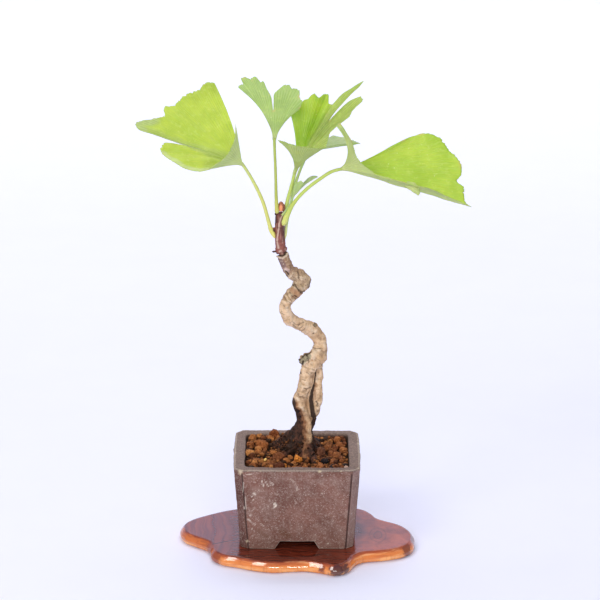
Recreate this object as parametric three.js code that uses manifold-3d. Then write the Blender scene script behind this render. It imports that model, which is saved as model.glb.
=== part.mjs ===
// Ginkgo bonsai: a small twisted ginkgo with six fan leaves, in a square unglazed clay pot
// that stands on a free-form slab of lacquered wood.
// Units are millimetres, +Z is up, and the front of the pot faces -Y. The origin lies on the
// underside of the slab, below the centre of the pot.
import * as THREE from 'three';
import { mergeVertices } from 'three/addons/utils/BufferGeometryUtils.js';
import Module from 'manifold-3d';

const wasm = await Module();
wasm.setup();

// ---------------------------------------------------------------------------------------
// Driving dimensions
// ---------------------------------------------------------------------------------------
const GAP = 0.3;                  // clearance between neighbouring solids
const MERGE_DISTANCE = 0.02;      // points of a joined solid nearer than this become one

const STAND_THICKNESS = 6.5;
const STAND_EDGE_ROUND = 2.4;     // how far the rounded edge draws in at top and bottom

const POT_TOP_WIDTH = 69.2;
const POT_BASE_WIDTH = 62.4;
const POT_HEIGHT = 46.7;
const POT_WALL = 5.8;
const POT_FOOT_HEIGHT = 4.4;
const POT_FLOOR = 5;              // thickness of the floor above the feet
const POT_CHAMFER = 3.9;          // leg of the cut corner
const POT_BULGE = 0.5;            // how far each side swells at its middle
const GROOVE_WIDTH = 1.0;         // incised line beside each cut corner
const GROOVE_DEPTH = 0.6;
const NOTCH_TOP = 19;             // opening between two feet
const NOTCH_BOTTOM = 24.5;
const DRAIN_RADIUS = 4.5;

const NET_SIZE = 16;              // plastic net over the drain hole
const NET_THICKNESS = 0.9;
const NET_BAR = 0.9;
const NET_PITCH = 3.6;
const NET_HOLES = 4;

const SOIL_BELOW_RIM = 2.2;
const GRANULE_COUNT = 106;
const GRANULE_RADIUS = [1.5, 2.7];

const BLADE_THICKNESS = 0.7;
const BLADE_ROWS = 4;             // steps along a vein
const BLADE_STEP = 0.15;          // widest step across the fan, radians
const BLADE_START = 1.5;          // distance from the junction at which the blade begins
const JOINT_RADII = [1.7, 1.7, 1.7];   // the swelling where stalk and blade meet

const POT_BOTTOM = STAND_THICKNESS;
const RIM = POT_BOTTOM + POT_HEIGHT;
const POT_FLOOR_TOP = POT_BOTTOM + POT_FOOT_HEIGHT + POT_FLOOR;
const SOIL_TOP = RIM - SOIL_BELOW_RIM;

const COLOURS = {
  stand: { color: 0x7a2c12, roughness: 0.2, metalness: 0 },
  pot: { color: 0x75645c, roughness: 0.85, metalness: 0 },
  net: { color: 0x1d1f20, roughness: 0.6, metalness: 0 },
  soil: { color: 0x8a5227, roughness: 0.95, metalness: 0 },
  oldWood: { color: 0xb08c68, roughness: 0.8, metalness: 0 },
  youngWood: { color: 0x5c2f2c, roughness: 0.6, metalness: 0 },
  bud: { color: 0xb0543a, roughness: 0.5, metalness: 0 },
  leaf: { color: 0xa6cc3c, roughness: 0.5, metalness: 0 },
  leafUnder: { color: 0x93b56a, roughness: 0.6, metalness: 0 },
  youngLeaf: { color: 0x6f9448, roughness: 0.6, metalness: 0 },
};

// ---------------------------------------------------------------------------------------
// Small helpers
// ---------------------------------------------------------------------------------------
const vec = (p) => new THREE.Vector3(p[0], p[1], p[2]);

// A seeded random number generator, so that every run gives the same part.
function seeded(seed) {
  let state = seed >>> 0;
  return () => {
    state = (state + 0x6d2b79f5) >>> 0;
    let t = state;
    t = Math.imul(t ^ (t >>> 15), t | 1);
    t ^= t + Math.imul(t ^ (t >>> 7), t | 61);
    return ((t ^ (t >>> 14)) >>> 0) / 4294967296;
  };
}

// Linear interpolation in a table of [key, value] columns.
function linear(keys, values, x) {
  let i = 0;
  while (i < keys.length - 2 && x > keys[i + 1]) i += 1;
  const t = Math.min(Math.max((x - keys[i]) / (keys[i + 1] - keys[i]), 0), 1);
  return values[i] + (values[i + 1] - values[i]) * t;
}

// A smooth curve through values at uneven keys (cubic Hermite with central slopes).
function smooth(keys, values, x) {
  const last = keys.length - 1;
  const slope = (i) => {
    const a = Math.max(i - 1, 0);
    const b = Math.min(i + 1, last);
    return (values[b] - values[a]) / (keys[b] - keys[a]);
  };
  let i = 0;
  while (i < last - 1 && x > keys[i + 1]) i += 1;
  const h = keys[i + 1] - keys[i];
  const t = Math.min(Math.max((x - keys[i]) / h, 0), 1);
  const t2 = t * t;
  const t3 = t2 * t;
  return (2 * t3 - 3 * t2 + 1) * values[i]
    + (t3 - 2 * t2 + t) * h * slope(i)
    + (3 * t2 - 2 * t3) * values[i + 1]
    + (t3 - t2) * h * slope(i + 1);
}

function solidFrom(positions, triangles) {
  return new wasm.Manifold(new wasm.Mesh({
    numProp: 3,
    vertProperties: new Float32Array(positions),
    triVerts: new Uint32Array(triangles),
  }));
}

// A closed three.js geometry as a solid.
function solidOf(geometry) {
  const bare = geometry.clone();
  bare.deleteAttribute('normal');
  bare.deleteAttribute('uv');
  const merged = mergeVertices(bare, 1e-4);
  return solidFrom(merged.attributes.position.array, merged.index.array);
}

function unite(solids) {
  return solids.reduce((sum, one) => sum.add(one));
}

// The largest connected piece of a solid: loose scraps left by a cut are dropped.
function largestPiece(solid) {
  const pieces = solid.decompose();
  return pieces.reduce((best, piece) => (piece.volume() > best.volume() ? piece : best));
}

// A joined solid as a geometry. Cuts leave points almost on top of each other: these are
// drawn together, one edge at a time, wherever the surface stays closed.
function cleaned(solid) {
  const mesh = solid.getMesh();
  const points = [];
  for (let i = 0; i < mesh.vertProperties.length; i += 3) {
    points.push(new THREE.Vector3().fromArray(mesh.vertProperties, i));
  }
  const triangles = [];
  const fans = points.map(() => new Set());
  for (let i = 0; i < mesh.triVerts.length; i += 3) {
    const corners = [...mesh.triVerts.slice(i, i + 3)];
    corners.forEach((corner) => fans[corner].add(triangles.length));
    triangles.push(corners);
  }
  const neighbours = (corner) => new Set([...fans[corner]].flatMap((t) => triangles[t]));
  const collapse = (kept, gone) => {
    for (const t of [...fans[gone]]) {
      if (triangles[t].includes(kept)) {
        triangles[t].forEach((corner) => fans[corner].delete(t));
        triangles[t] = null;
      } else {
        triangles[t] = triangles[t].map((corner) => (corner === gone ? kept : corner));
        fans[kept].add(t);
      }
    }
    fans[gone].clear();
  };
  let again = true;
  while (again) {
    again = false;
    for (let t = 0; t < triangles.length; t += 1) {
      for (let k = 0; k < 3 && triangles[t]; k += 1) {
        const a = triangles[t][k];
        const b = triangles[t][(k + 1) % 3];
        if (points[a].distanceTo(points[b]) > MERGE_DISTANCE) continue;
        const around = neighbours(a);
        const shared = [...neighbours(b)].filter((corner) => around.has(corner));
        if (shared.length !== 4) continue;
        collapse(a, b);
        again = true;
      }
    }
  }
  const geometry = new THREE.BufferGeometry().setFromPoints(points);
  geometry.setIndex(triangles.filter((corners) => corners).flat());
  const bare = geometry.toNonIndexed();
  return mergeVertices(bare, 1e-5);
}

function meshOf(name, solid, finish) {
  const geometry = cleaned(solid);
  geometry.computeVertexNormals();
  const result = new THREE.Mesh(geometry, new THREE.MeshStandardMaterial(finish));
  result.name = name;
  return result;
}

// A solid through closed rings of points, all with the same count, ended by flat fans.
function loft(rings) {
  const count = rings[0].length;
  const positions = [];
  const triangles = [];
  for (const ring of rings) {
    for (const p of ring) positions.push(p.x, p.y, p.z);
  }
  for (let r = 0; r < rings.length - 1; r += 1) {
    for (let i = 0; i < count; i += 1) {
      const a = r * count + i;
      const b = r * count + (i + 1) % count;
      triangles.push(a, b, b + count, a, b + count, a + count);
    }
  }
  const cap = (ring, base, flip) => {
    const centre = new THREE.Vector3();
    for (const p of ring) centre.add(p);
    centre.divideScalar(count);
    const middle = positions.length / 3;
    positions.push(centre.x, centre.y, centre.z);
    for (let i = 0; i < count; i += 1) {
      const a = base + i;
      const b = base + (i + 1) % count;
      if (flip) triangles.push(middle, b, a);
      else triangles.push(middle, a, b);
    }
  };
  cap(rings[0], 0, true);
  cap(rings[rings.length - 1], (rings.length - 1) * count, false);
  return solidFrom(positions, triangles);
}

// A limb of wood, a root or a leaf stalk: a tube along stations [x, y, z, radius].
// "grow" adds to the radius and to both ends; "relief" is a share of the radius given by a
// function of the angle round the limb and the distance along it.
function limb(stations, { sides = 10, steps = 3, grow = 0, relief = null } = {}) {
  const keys = stations.map((_, i) => i);
  const columns = [0, 1, 2, 3].map((c) => stations.map((s) => s[c]));
  const count = (stations.length - 1) * steps;
  const at = (u) => new THREE.Vector3(
    smooth(keys, columns[0], u),
    smooth(keys, columns[1], u),
    smooth(keys, columns[2], u),
  );
  const centres = [];
  for (let i = 0; i <= count; i += 1) centres.push(at(i / steps));
  let side = null;
  let length = 0;
  const rings = [];
  for (let i = 0; i <= count; i += 1) {
    const along = centres[Math.min(i + 1, count)].clone().sub(centres[Math.max(i - 1, 0)]);
    along.normalize();
    if (side === null) {
      const helper = Math.abs(along.x) < 0.9 ? vec([1, 0, 0]) : vec([0, 1, 0]);
      side = new THREE.Vector3().crossVectors(along, helper).normalize();
    } else {
      side.addScaledVector(along, -side.dot(along)).normalize();
      length += centres[i].distanceTo(centres[i - 1]);
    }
    const other = new THREE.Vector3().crossVectors(along, side);
    const radius = linear(keys, columns[3], i / steps) + grow;
    const centre = centres[i].clone();
    if (i === 0) centre.addScaledVector(along, -grow);
    if (i === count) centre.addScaledVector(along, grow);
    const ring = [];
    for (let k = 0; k < sides; k += 1) {
      const angle = (2 * Math.PI * k) / sides;
      const swell = relief ? 1 + relief(angle, length) : 1;
      const p = centre.clone();
      p.addScaledVector(side, Math.cos(angle) * radius * swell);
      p.addScaledVector(other, Math.sin(angle) * radius * swell);
      ring.push(p);
    }
    rings.push(ring);
  }
  return loft(rings);
}

// A rounded lump: a scaled low ball at [x, y, z].
function lump(centre, radii, grow = 0) {
  const ball = new THREE.IcosahedronGeometry(1, 1);
  ball.scale(radii[0] + grow, radii[1] + grow, radii[2] + grow);
  ball.translate(centre[0], centre[1], centre[2]);
  return solidOf(ball);
}

// ---------------------------------------------------------------------------------------
// Stand: a free-form slab with a rounded edge
// ---------------------------------------------------------------------------------------
const STAND_OUTLINE = [
  [65.2, -14], [64.9, -4], [62, 3.4], [57.5, 9.6], [50.5, 15], [46.6, 18.8], [43.6, 26],
  [38.8, 33], [32, 36.6], [22, 39.3], [8, 40.8], [-8, 41], [-22, 39.3], [-32, 35.8],
  [-42, 31.2], [-53.5, 23], [-61, 16], [-64.8, 9], [-65.2, 1.5], [-62.8, -7], [-57.6, -12.6],
  [-50.4, -20], [-48.2, -26], [-46.6, -35], [-41.2, -41.4], [-33, -45.3], [-22, -50.8],
  [-12, -53], [-2, -51.4], [5, -51.2], [12.9, -54], [20.4, -57.4], [25.1, -55.6],
  [28.9, -51], [33, -41.2], [37.1, -37.5], [49, -34.6], [58.7, -29.6], [63.8, -22.5],
];

function buildStand() {
  const curve = new THREE.CatmullRomCurve3(
    STAND_OUTLINE.map((p) => vec([p[0], p[1], 0])), true, 'centripetal');
  const outline = curve.getSpacedPoints(72).slice(0, 72);
  const inset = (distance, z) => outline.map((p, i) => {
    const before = outline[(i + 71) % 72];
    const after = outline[(i + 1) % 72];
    const inward = new THREE.Vector3(before.y - after.y, after.x - before.x, 0).normalize();
    return new THREE.Vector3(p.x + inward.x * distance, p.y + inward.y * distance, z);
  });
  const t = STAND_THICKNESS;
  const r = STAND_EDGE_ROUND;
  return loft([
    inset(r, 0), inset(r * 0.3, t * 0.14), inset(0, t * 0.42), inset(r * 0.12, t * 0.68),
    inset(r * 0.45, t * 0.9), inset(r, t),
  ]);
}

// ---------------------------------------------------------------------------------------
// Pot: square, tapered, with cut corners, incised lines and four feet
// ---------------------------------------------------------------------------------------
function potRing(width, z) {
  const half = width / 2;
  const edge = half - POT_CHAMFER;
  const panel = edge - GROOVE_WIDTH;
  const across = [-1, -0.5, 0, 0.5, 1];
  const side = across.map((u) => [u * panel, -half - POT_BULGE * (1 - u * u)]);
  side.unshift([-edge + GROOVE_WIDTH / 2, -half + GROOVE_DEPTH]);
  side.unshift([-edge, -half]);
  side.push([edge - GROOVE_WIDTH / 2, -half + GROOVE_DEPTH]);
  side.push([edge, -half]);
  const ring = [];
  for (let quarter = 0; quarter < 4; quarter += 1) {
    const turn = (quarter * Math.PI) / 2;
    for (const [x, y] of side) {
      ring.push(new THREE.Vector3(
        x * Math.cos(turn) - y * Math.sin(turn), x * Math.sin(turn) + y * Math.cos(turn), z));
    }
  }
  return ring;
}

// The round-cornered square that the inside of the pot and the soil share.
function insideRing(half, z, corner = 3) {
  const ring = [];
  for (let quarter = 0; quarter < 4; quarter += 1) {
    for (let k = 0; k <= 2; k += 1) {
      const angle = (quarter + k / 2) * (Math.PI / 2);
      const sx = [1, -1, -1, 1][quarter];
      const sy = [1, 1, -1, -1][quarter];
      ring.push(new THREE.Vector3(
        sx * (half - corner) + corner * Math.cos(angle),
        sy * (half - corner) + corner * Math.sin(angle), z));
    }
  }
  return ring;
}

function potWidth(z) {
  const share = (z - POT_BOTTOM) / POT_HEIGHT;
  return POT_BASE_WIDTH + (POT_TOP_WIDTH - POT_BASE_WIDTH) * share;
}

// Half the inner width at height z, less an allowance.
function insideHalf(z, allowance = 0) {
  return potWidth(z) / 2 - POT_WALL - allowance;
}

function notch(turn) {
  const shape = new THREE.Shape();
  shape.moveTo(-NOTCH_BOTTOM / 2 - 0.6, -1);
  shape.lineTo(NOTCH_BOTTOM / 2 + 0.6, -1);
  shape.lineTo(NOTCH_TOP / 2, POT_FOOT_HEIGHT);
  shape.lineTo(-NOTCH_TOP / 2, POT_FOOT_HEIGHT);
  shape.closePath();
  const depth = POT_TOP_WIDTH + 10;
  const cutter = new THREE.ExtrudeGeometry(shape, { depth, bevelEnabled: false });
  cutter.translate(0, 0, -depth / 2);
  cutter.rotateX(Math.PI / 2);
  cutter.rotateZ(turn);
  cutter.translate(0, 0, POT_BOTTOM);
  return solidOf(cutter);
}

function buildPot() {
  const heights = [0, 0.25, 0.5, 0.75, 1].map((u) => POT_BOTTOM + u * POT_HEIGHT);
  const outer = loft(heights.map((z) => potRing(potWidth(z), z)));
  const inside = loft([
    insideRing(insideHalf(POT_FLOOR_TOP, 3), POT_FLOOR_TOP),
    insideRing(insideHalf(POT_FLOOR_TOP + 3), POT_FLOOR_TOP + 3),
    insideRing(insideHalf(RIM + 1), RIM + 1),
  ]);
  const drain = new THREE.CylinderGeometry(DRAIN_RADIUS, DRAIN_RADIUS, 30, 20);
  drain.rotateX(Math.PI / 2);
  drain.translate(0, 0, POT_FLOOR_TOP);
  return outer.subtract(inside).subtract(solidOf(drain)).subtract(notch(0)).subtract(notch(Math.PI / 2));
}

function block(width, height, x, y, z) {
  const box = new THREE.BoxGeometry(width, width, height);
  box.translate(x, y, z);
  return solidOf(box);
}

function buildDrainNet() {
  const z = POT_FLOOR_TOP + GAP + NET_THICKNESS / 2;
  const plate = block(NET_SIZE, NET_THICKNESS, 0, 0, z);
  const middle = (NET_HOLES - 1) / 2;
  const holes = [];
  for (let i = 0; i < NET_HOLES; i += 1) {
    for (let j = 0; j < NET_HOLES; j += 1) {
      holes.push(block(NET_PITCH - NET_BAR, 3, (i - middle) * NET_PITCH, (j - middle) * NET_PITCH, z));
    }
  }
  return plate.subtract(unite(holes));
}

// ---------------------------------------------------------------------------------------
// Tree: old wood with its roots, this year's shoot, and the bud at its tip
// ---------------------------------------------------------------------------------------
// Stations are [x, y, z, radius].
const TRUNK = [
  [3.3, 3, 38, 2.6], [3.3, 3, 46, 4.6], [3.3, 3, 52, 5.6], [3.4, 3, 58, 4.9], [3.9, 2, 67.2, 4.4],
  [3.9, 2, 71.5, 4.2], [2.9, 1, 75.8, 4.0], [1.7, 0, 79.5, 3.9], [1.9, 0, 84, 3.6],
  [3.4, -1, 89, 3.6], [5, -1, 94.4, 3.7], [6, -0.5, 99, 4.3], [8.5, 0.5, 104, 4.9],
  [12, 2, 109, 4.6], [12.9, 3.5, 113.6, 3.6], [11.4, 4, 118.2, 3.8], [8.2, 3, 122, 4.1],
  [3.9, 0, 125.3, 3.4], [-0.2, -2, 127.6, 3.3], [-4.4, -4, 131, 3.5], [-6.3, -5, 135.2, 3.2],
  [-6.4, -5, 138.8, 3.0], [-4.1, -3, 142.4, 3.5], [-0.4, 0, 145.8, 3.8], [3.6, 3, 149.4, 4.2],
  [2, 3, 152.6, 3.9], [-1.8, 2, 154.2, 3.4], [-4.4, 1, 157, 3.2], [-5.8, 0, 160.6, 3.1],
  [-7.2, 0, 164, 3.1], [-8.4, 0, 166.3, 3.1],
];
const SECOND_STEM = [
  [6.4, 2, 60, 1.1], [7.6, 1.8, 65, 1.3], [8.6, 1.2, 69, 1.4], [9.4, 0.5, 72.5, 1.6],
  [10.4, -0.5, 76.5, 2.1], [11.1, -0.5, 80.5, 2.5], [11.6, -0.5, 85.5, 2.5],
  [12, 0, 91, 2.3], [12.2, 0.3, 96, 2.0], [12.2, 0.8, 101, 2.2], [12, 1.5, 106, 2.6],
];
// Bark that has grown together behind the cleft between the two stems.
const CLEFT = [
  [5.4, 2.4, 64, 1.8], [6.6, 2, 71, 2], [7, 1.4, 78, 2.1], [7.2, 1.2, 85, 2.2],
  [8.4, 1, 92, 2.2], [9.4, 1, 99, 2.2],
];
const SNAG = [
  [11, 0.5, 108.6, 2.9], [7, -1.4, 107.8, 2.6], [4, -2.2, 106.3, 2.5], [2.2, -2.4, 105, 2.1],
];
const ROOTS = [
  [[2.5, 2, 62, 3.4], [-1.6, 0.4, 55.6, 3.3], [-6.5, -2, 51.6, 2.5], [-12, -5, 46, 1.0]],
  [[3, 1, 62, 3.4], [2.2, -4, 54.4, 2.9], [0.8, -9, 51.2, 2.1], [-0.5, -14, 46, 0.9]],
  [[2, 3.5, 61, 3.2], [-3.5, 4.5, 55, 2.8], [-9.5, 6.5, 51.4, 2.0], [-14.5, 8, 46, 1.0]],
  [[5, 0.2, 75, 1.7], [6.3, -1.8, 68, 2.0], [6.5, -2.6, 60, 2.1], [6.8, -3.6, 53, 1.9],
    [7, -5, 46, 1.0]],
  [[5, 3.5, 60, 3.0], [8.5, 5, 53.2, 2.4], [12.5, 6.5, 50.2, 1.6], [17, 8, 45.5, 0.9]],
  [[3, 4, 60, 3.2], [2.2, 9, 53, 2.3], [1, 14, 50, 1.6], [-1, 19, 45, 0.9]],
  [[5, 1, 59, 3.0], [7.5, -6.5, 53, 2.5], [9.8, -12, 50.6, 1.7], [11.5, -17, 46, 0.9]],
];
const KNOBS = [
  // healed cuts, swellings at the bends and old bud rings: centre, radii
  [[9.4, 1.4, 124.6], [1.9, 1.6, 1.7]],
  [[-0.6, 2.2, 156.6], [1.6, 1.6, 1.5]],
  [[13.6, 1.8, 107], [3, 3, 4]],
  [[0.6, -1.6, 80.5], [1.8, 1.8, 2.4]],
  [[2, -2.6, 88], [2.6, 1.5, 1.7]],
  [[-5.4, -0.4, 164.8], [1.1, 1.4, 1.3]],
];

// Shallow ridges along the wood and rings across it.
function bark(angle, length) {
  return 0.035 * Math.sin(3 * angle + 0.35 * length) + 0.03 * Math.sin(1.3 * length);
}

function treeSolid(grow = 0) {
  const parts = [
    limb(TRUNK, { sides: 11, steps: 2, grow, relief: bark }),
    limb(SECOND_STEM, { sides: 8, steps: 2, grow, relief: bark }),
    limb(CLEFT, { sides: 8, steps: 1, grow }),
    limb(SNAG, { sides: 7, steps: 1, grow }),
  ];
  for (const root of ROOTS) parts.push(limb(root, { sides: 6, steps: 2, grow }));
  for (const [centre, radii] of KNOBS) parts.push(lump(centre, radii, grow));
  return unite(parts);
}

const SHOOT = [
  [-8.5, 0, 166.6, 3.1], [-8.7, 0, 168.2, 3.0], [-8.9, 0, 170.5, 2.8], [-9.2, 0, 174, 2.75],
  [-9.4, 0, 178, 2.75], [-9.3, 0, 183, 2.7], [-9.4, 0, 187, 2.4], [-9.5, -0.2, 189.6, 1.9],
];
const SHOOT_KNOBS = [
  [[-12.5, -0.6, 180], [1.2, 1.1, 1.5]],
  [[-12.2, -0.2, 167.6], [1.4, 0.8, 0.6]],
  [[-6.6, 0.4, 169], [1.3, 1.5, 1.2]],
  [[-11, -0.8, 189], [1.2, 1.2, 0.9]],
];

function shootSolid(grow = 0) {
  const ridges = (angle) => 0.03 * Math.sin(5 * angle);
  const parts = [limb(SHOOT, { sides: 12, steps: 2, grow, relief: ridges })];
  for (const [centre, radii] of SHOOT_KNOBS) parts.push(lump(centre, radii, grow));
  return unite(parts);
}

const BUD_BASE = [-8.6, -0.7, 190.2];
const BUD_HEIGHT = 5.6;
const BUD_RADIUS = 1.75;

function buildBud() {
  const core = lump([BUD_BASE[0], BUD_BASE[1], BUD_BASE[2] + BUD_HEIGHT * 0.5],
    [BUD_RADIUS * 0.8, BUD_RADIUS * 0.8, BUD_HEIGHT * 0.5]);
  const scales = [];
  for (let i = 0; i < 6; i += 1) {
    const angle = i * 2.4;
    const tall = BUD_HEIGHT * (0.3 + 0.04 * i);
    scales.push(lump(
      [BUD_BASE[0] + Math.cos(angle) * BUD_RADIUS * 0.42,
        BUD_BASE[1] + Math.sin(angle) * BUD_RADIUS * 0.42,
        BUD_BASE[2] + tall + 0.2],
      [BUD_RADIUS * 0.58, BUD_RADIUS * 0.58, tall]));
  }
  return unite([core, ...scales]);
}

// ---------------------------------------------------------------------------------------
// Leaves
// ---------------------------------------------------------------------------------------
// Each leaf is a stalk and a fan blade. The blade's veins start at the junction, and "tips"
// gives where the vein ends on the margin, relative to the junction, in order round the fan
// with the upper face on the left: a short one is the bottom of a slit. "curl" bends the
// veins: [number of the vein, x, y, z], as the bend in mm that a vein has 10 mm out.
const LEAVES = {
  leaf_left: {
    finish: 'leaf',
    junction: [-29.6, -4, 217.7],
    stalk: [
      [-11, -0.3, 172.2, 0.9], [-12.2, -0.3, 175.2, 1.5], [-14.1, -0.8, 179.4, 1.3],
      [-15.2, -1.3, 184, 1.1], [-17.7, -2, 193.7, 1], [-20.5, -2.6, 201.2, 1],
      [-24.4, -3.3, 209.2, 0.9],
      [-27.3, -3.8, 214.3, 0.9], [-29.6, -4, 217.7, 0.9], [-31, -4.6, 220, 0.7],
    ],
    tips: [
      [-3, -14, 25.5], [-3.5, -11, 18], [-4.5, -10, 13.5], [-7, -11, 9], [-9.5, -12, 6],
      [-14, -13, 3], [-18.5, -15, 0.5], [-22.5, -16, 0], [-29.5, -17, 1.5],
      [-36.5, -16.5, 5.5], [-42, -15, 9], [-43.5, -13.5, 11.5], [-41, -11, 14.5],
      [-10.5, -1.5, 4.5], [-54.5, 2, 18], [-57.5, 5, 21], [-48.5, 10, 22.5], [-42, 12, 24],
      [-42.5, 15, 28], [-36.5, 18, 28.5], [-33, 22, 32], [-28.5, 25, 33.5], [-23.5, 27, 35],
      [-22, 30, 37], [-18.5, 32, 38], [-15, 32, 37.5],
    ],
    curl: [
      [0, 0, 0, 0], [3, 0, 0, 0.2], [7, 0, 0, -0.5], [11, 0, 0, -0.1], [13, 0, 0, 0],
      [16, 0, 0, -0.05], [22, 0, 0, 0], [25, -0.25, 0, -0.05],
    ],
  },
  leaf_upright: {
    finish: 'leafUnder',
    junction: [-12.1, -7, 232.2],
    stalk: [
      [-10.6, -1.6, 187.5, 1.3], [-11, -2.6, 191.5, 1.1], [-11.3, -3, 200, 0.9],
      [-11.5, -3.9, 211.4, 0.8], [-11.9, -5.5, 223, 0.8], [-12.1, -6.7, 230, 0.8],
      [-12.1, -7.4, 234, 0.8],
    ],
    tips: [
      [13, -6, 17.5], [14.5, -7, 20.5], [13.5, -8.5, 25], [13, -10, 29.5], [9.5, -10.5, 30],
      [7.5, -11.5, 32.5], [4.5, -11.5, 32], [2.5, -11, 30], [0, -10, 27], [-0.5, -6, 17],
      [-1.5, -9, 25], [-4, -11, 30.5], [-5.2, -11.9, 33.9], [-7.4, -12.2, 34.5], [-10, -13, 37.5],
      [-12.5, -13, 36], [-15.5, -13.2, 37], [-17.5, -13, 36.5], [-16.5, -11.5, 32.5],
      [-18.5, -11, 32], [-19, -10, 30.5],
    ],
    curl: [
      [0, 1.1, 0, -0.6], [2, 0.3, 0, -0.1], [6, 0, 0, 0], [9, 0, 0, 0], [14, -0.1, 0, 0],
      [17, -0.4, 0, -0.2], [20, -0.75, 0, -0.45],
    ],
  },
  leaf_funnel: {
    finish: 'leaf',
    junction: [-1.3, -1, 211.9],
    stalk: [
      [-8.4, 0, 184.5, 1.2], [-6.6, 0.8, 189.6, 1.15], [-5, 1.3, 196.4, 1.1],
      [-3.5, 0.8, 202, 1.1], [-2.1, -0.2, 207.8, 1], [-1.3, -1, 211.9, 1],
      [-0.9, -1.6, 214.6, 0.8],
    ],
    tips: [
      [-2.5, 9, 31.5], [-2, 11, 35.5], [1, 12, 37], [3.5, 13, 37], [7, 14, 38],
      [10.5, 15, 40.5], [13.5, 15, 38.5], [16, 17, 40], [18, 19, 39.5], [19, 17, 35],
      [20.4, 11, 35.5], [25.5, 12, 41], [30.2, 13.5, 43.7], [37.5, 15, 47], [32.5, 12, 43],
      [17.2, 6.2, 26], [28.5, 9.6, 37.2], [34, 11, 39.5], [35.5, 11, 40], [38, 8, 38],
      [33, 5, 36], [30.5, 2.5, 33.5], [30, 0, 31.5], [24.5, -3, 28.5], [19.5, -6, 24.5],
      [18, -8, 21.5], [17, -11, 17], [11, -17, 18], [5.5, -21, 20], [1, -23, 21],
      [-5, -24, 23], [-8.5, -24, 24.5],
    ],
    curl: [
      [0, -0.7, 0, 0], [2, -0.4, 0, 0], [5, 0, 0, 0], [9, 0.1, 0, 0], [13, 0.25, 0, -0.1],
      [19, 0.3, 0, -0.1], [24, 0.6, 0, -0.2], [26, 0.8, 0, -0.5], [28, 0.1, 0, 0],
      [31, -0.9, 0, -0.3],
    ],
  },
  leaf_right: {
    finish: 'leaf',
    junction: [24.3, -6, 215.5],
    stalk: [
      [-8.3, -1.2, 178.6, 0.9], [-7.7, -1.9, 181.8, 1.6], [-6.6, -3.2, 184.8, 1.6],
      [-5.1, -4.3, 189.3, 1.5], [-2.8, -5, 194.5, 1.2], [1.1, -5.8, 200, 1],
      [6.5, -6.4, 205.5, 1], [12.5, -6.6, 210.1, 1], [18.4, -6.4, 213.9, 1],
      [24.3, -6, 215.5, 0.9], [26.6, -6, 215.8, 0.8],
    ],
    tips: [
      [26.5, 9, 10.5], [33.3, 11.6, 13], [39.5, 14, 15], [45.5, 15, 16], [50.5, 15, 15],
      [53.5, 14.5, 13.5], [56, 13, 10.5], [59, 11, 6.5], [61.5, 10, 5], [65, 6, -1],
      [64.5, 4, -4.5], [62, 1.5, -7], [66, 0, -10.5], [66, -3, -14], [67, -6, -17.5],
      [69.5, -8, -19], [59.5, -11, -13.5], [51, -13, -9.5], [46, -14, -7.5], [39.5, -15, -6],
      [33, -15, -3.5], [25.5, -15, -2], [20, -14, -1], [16, -13, 1.5], [11, -12, 5.5],
      [7.5, -13, 10.5], [5, -13.5, 18], [2, -13, 23.5], [-1.5, -12.5, 28], [-3.5, -12, 26.5],
    ],
    curl: [
      [0, 0, 0, 0.55], [3, 0, 0, 0.2], [8, 0, 0, 0], [15, 0, 0, 0.02], [19, 0, 0, -0.05],
      [22, 0, 0, -0.3], [24, -0.2, 0, -0.5], [26, -1.6, 0, 0], [29, -2.1, 0, 0.2],
    ],
  },
  leaf_back: {
    finish: 'youngLeaf',
    junction: [7.1, 12, 221],
    stalk: [
      [-7.6, 1, 172.6, 1.1], [-5.8, 2.1, 176.6, 1.0], [-5.3, 2.3, 181, 0.95],
      [-4.8, 3.2, 187.3, 0.9], [-3.3, 4.6, 193.8, 0.8], [-1.7, 5, 201, 0.8],
      [0, 5.4, 207, 0.8], [2.2, 7, 212.8, 0.8], [4.9, 10.2, 218.1, 0.8],
      [7.1, 12, 221, 0.8], [9, 13, 222, 0.7],
    ],
    tips: [
      [9.5, -12, 5.5], [15, -9, 5.5], [21, -4, 4.5], [23, 3, 4], [27.5, 6, 2.5],
      [23.5, 12, 3], [21.5, 17, 2.5], [17, 25, 2], [13, 28, 2], [8.8, 20.5, 1.8], [6.5, 29, 1],
      [0.5, 29, 0.5], [-4.5, 24, 0.5],
    ],
    curl: [[0, 0, 0, -0.3], [6, 0, 0, 0], [12, -0.2, 0, -0.2]],
  },
  leaf_young: {
    finish: 'youngLeaf',
    junction: [-2.5, -2.2, 198.2],
    stalk: [
      [-8, -1.8, 188.6, 0.7], [-5.7, -2.6, 191.6, 0.7], [-4.1, -2.6, 194.2, 0.65],
      [-3.1, -2.4, 196.6, 0.65], [-2.5, -2.2, 198.2, 0.65], [-1.8, -2, 200, 0.6],
    ],
    tips: [
      [1, -1.5, 8], [3, -2, 9.5], [5, -3, 10.5], [6, -4, 9], [4.9, -3.1, 7], [7.5, 0, 10],
      [10.5, 3, 11.5], [14, 5, 10.5], [11, 8, 8.5], [7.5, 8, 6], [4, 6, 3],
    ],
    curl: [[0, 0, 0, 0], [4, 0, 0, 0], [7, 1.5, 0, -1.5], [10, 0, 0, 0]],
  },
};

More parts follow.
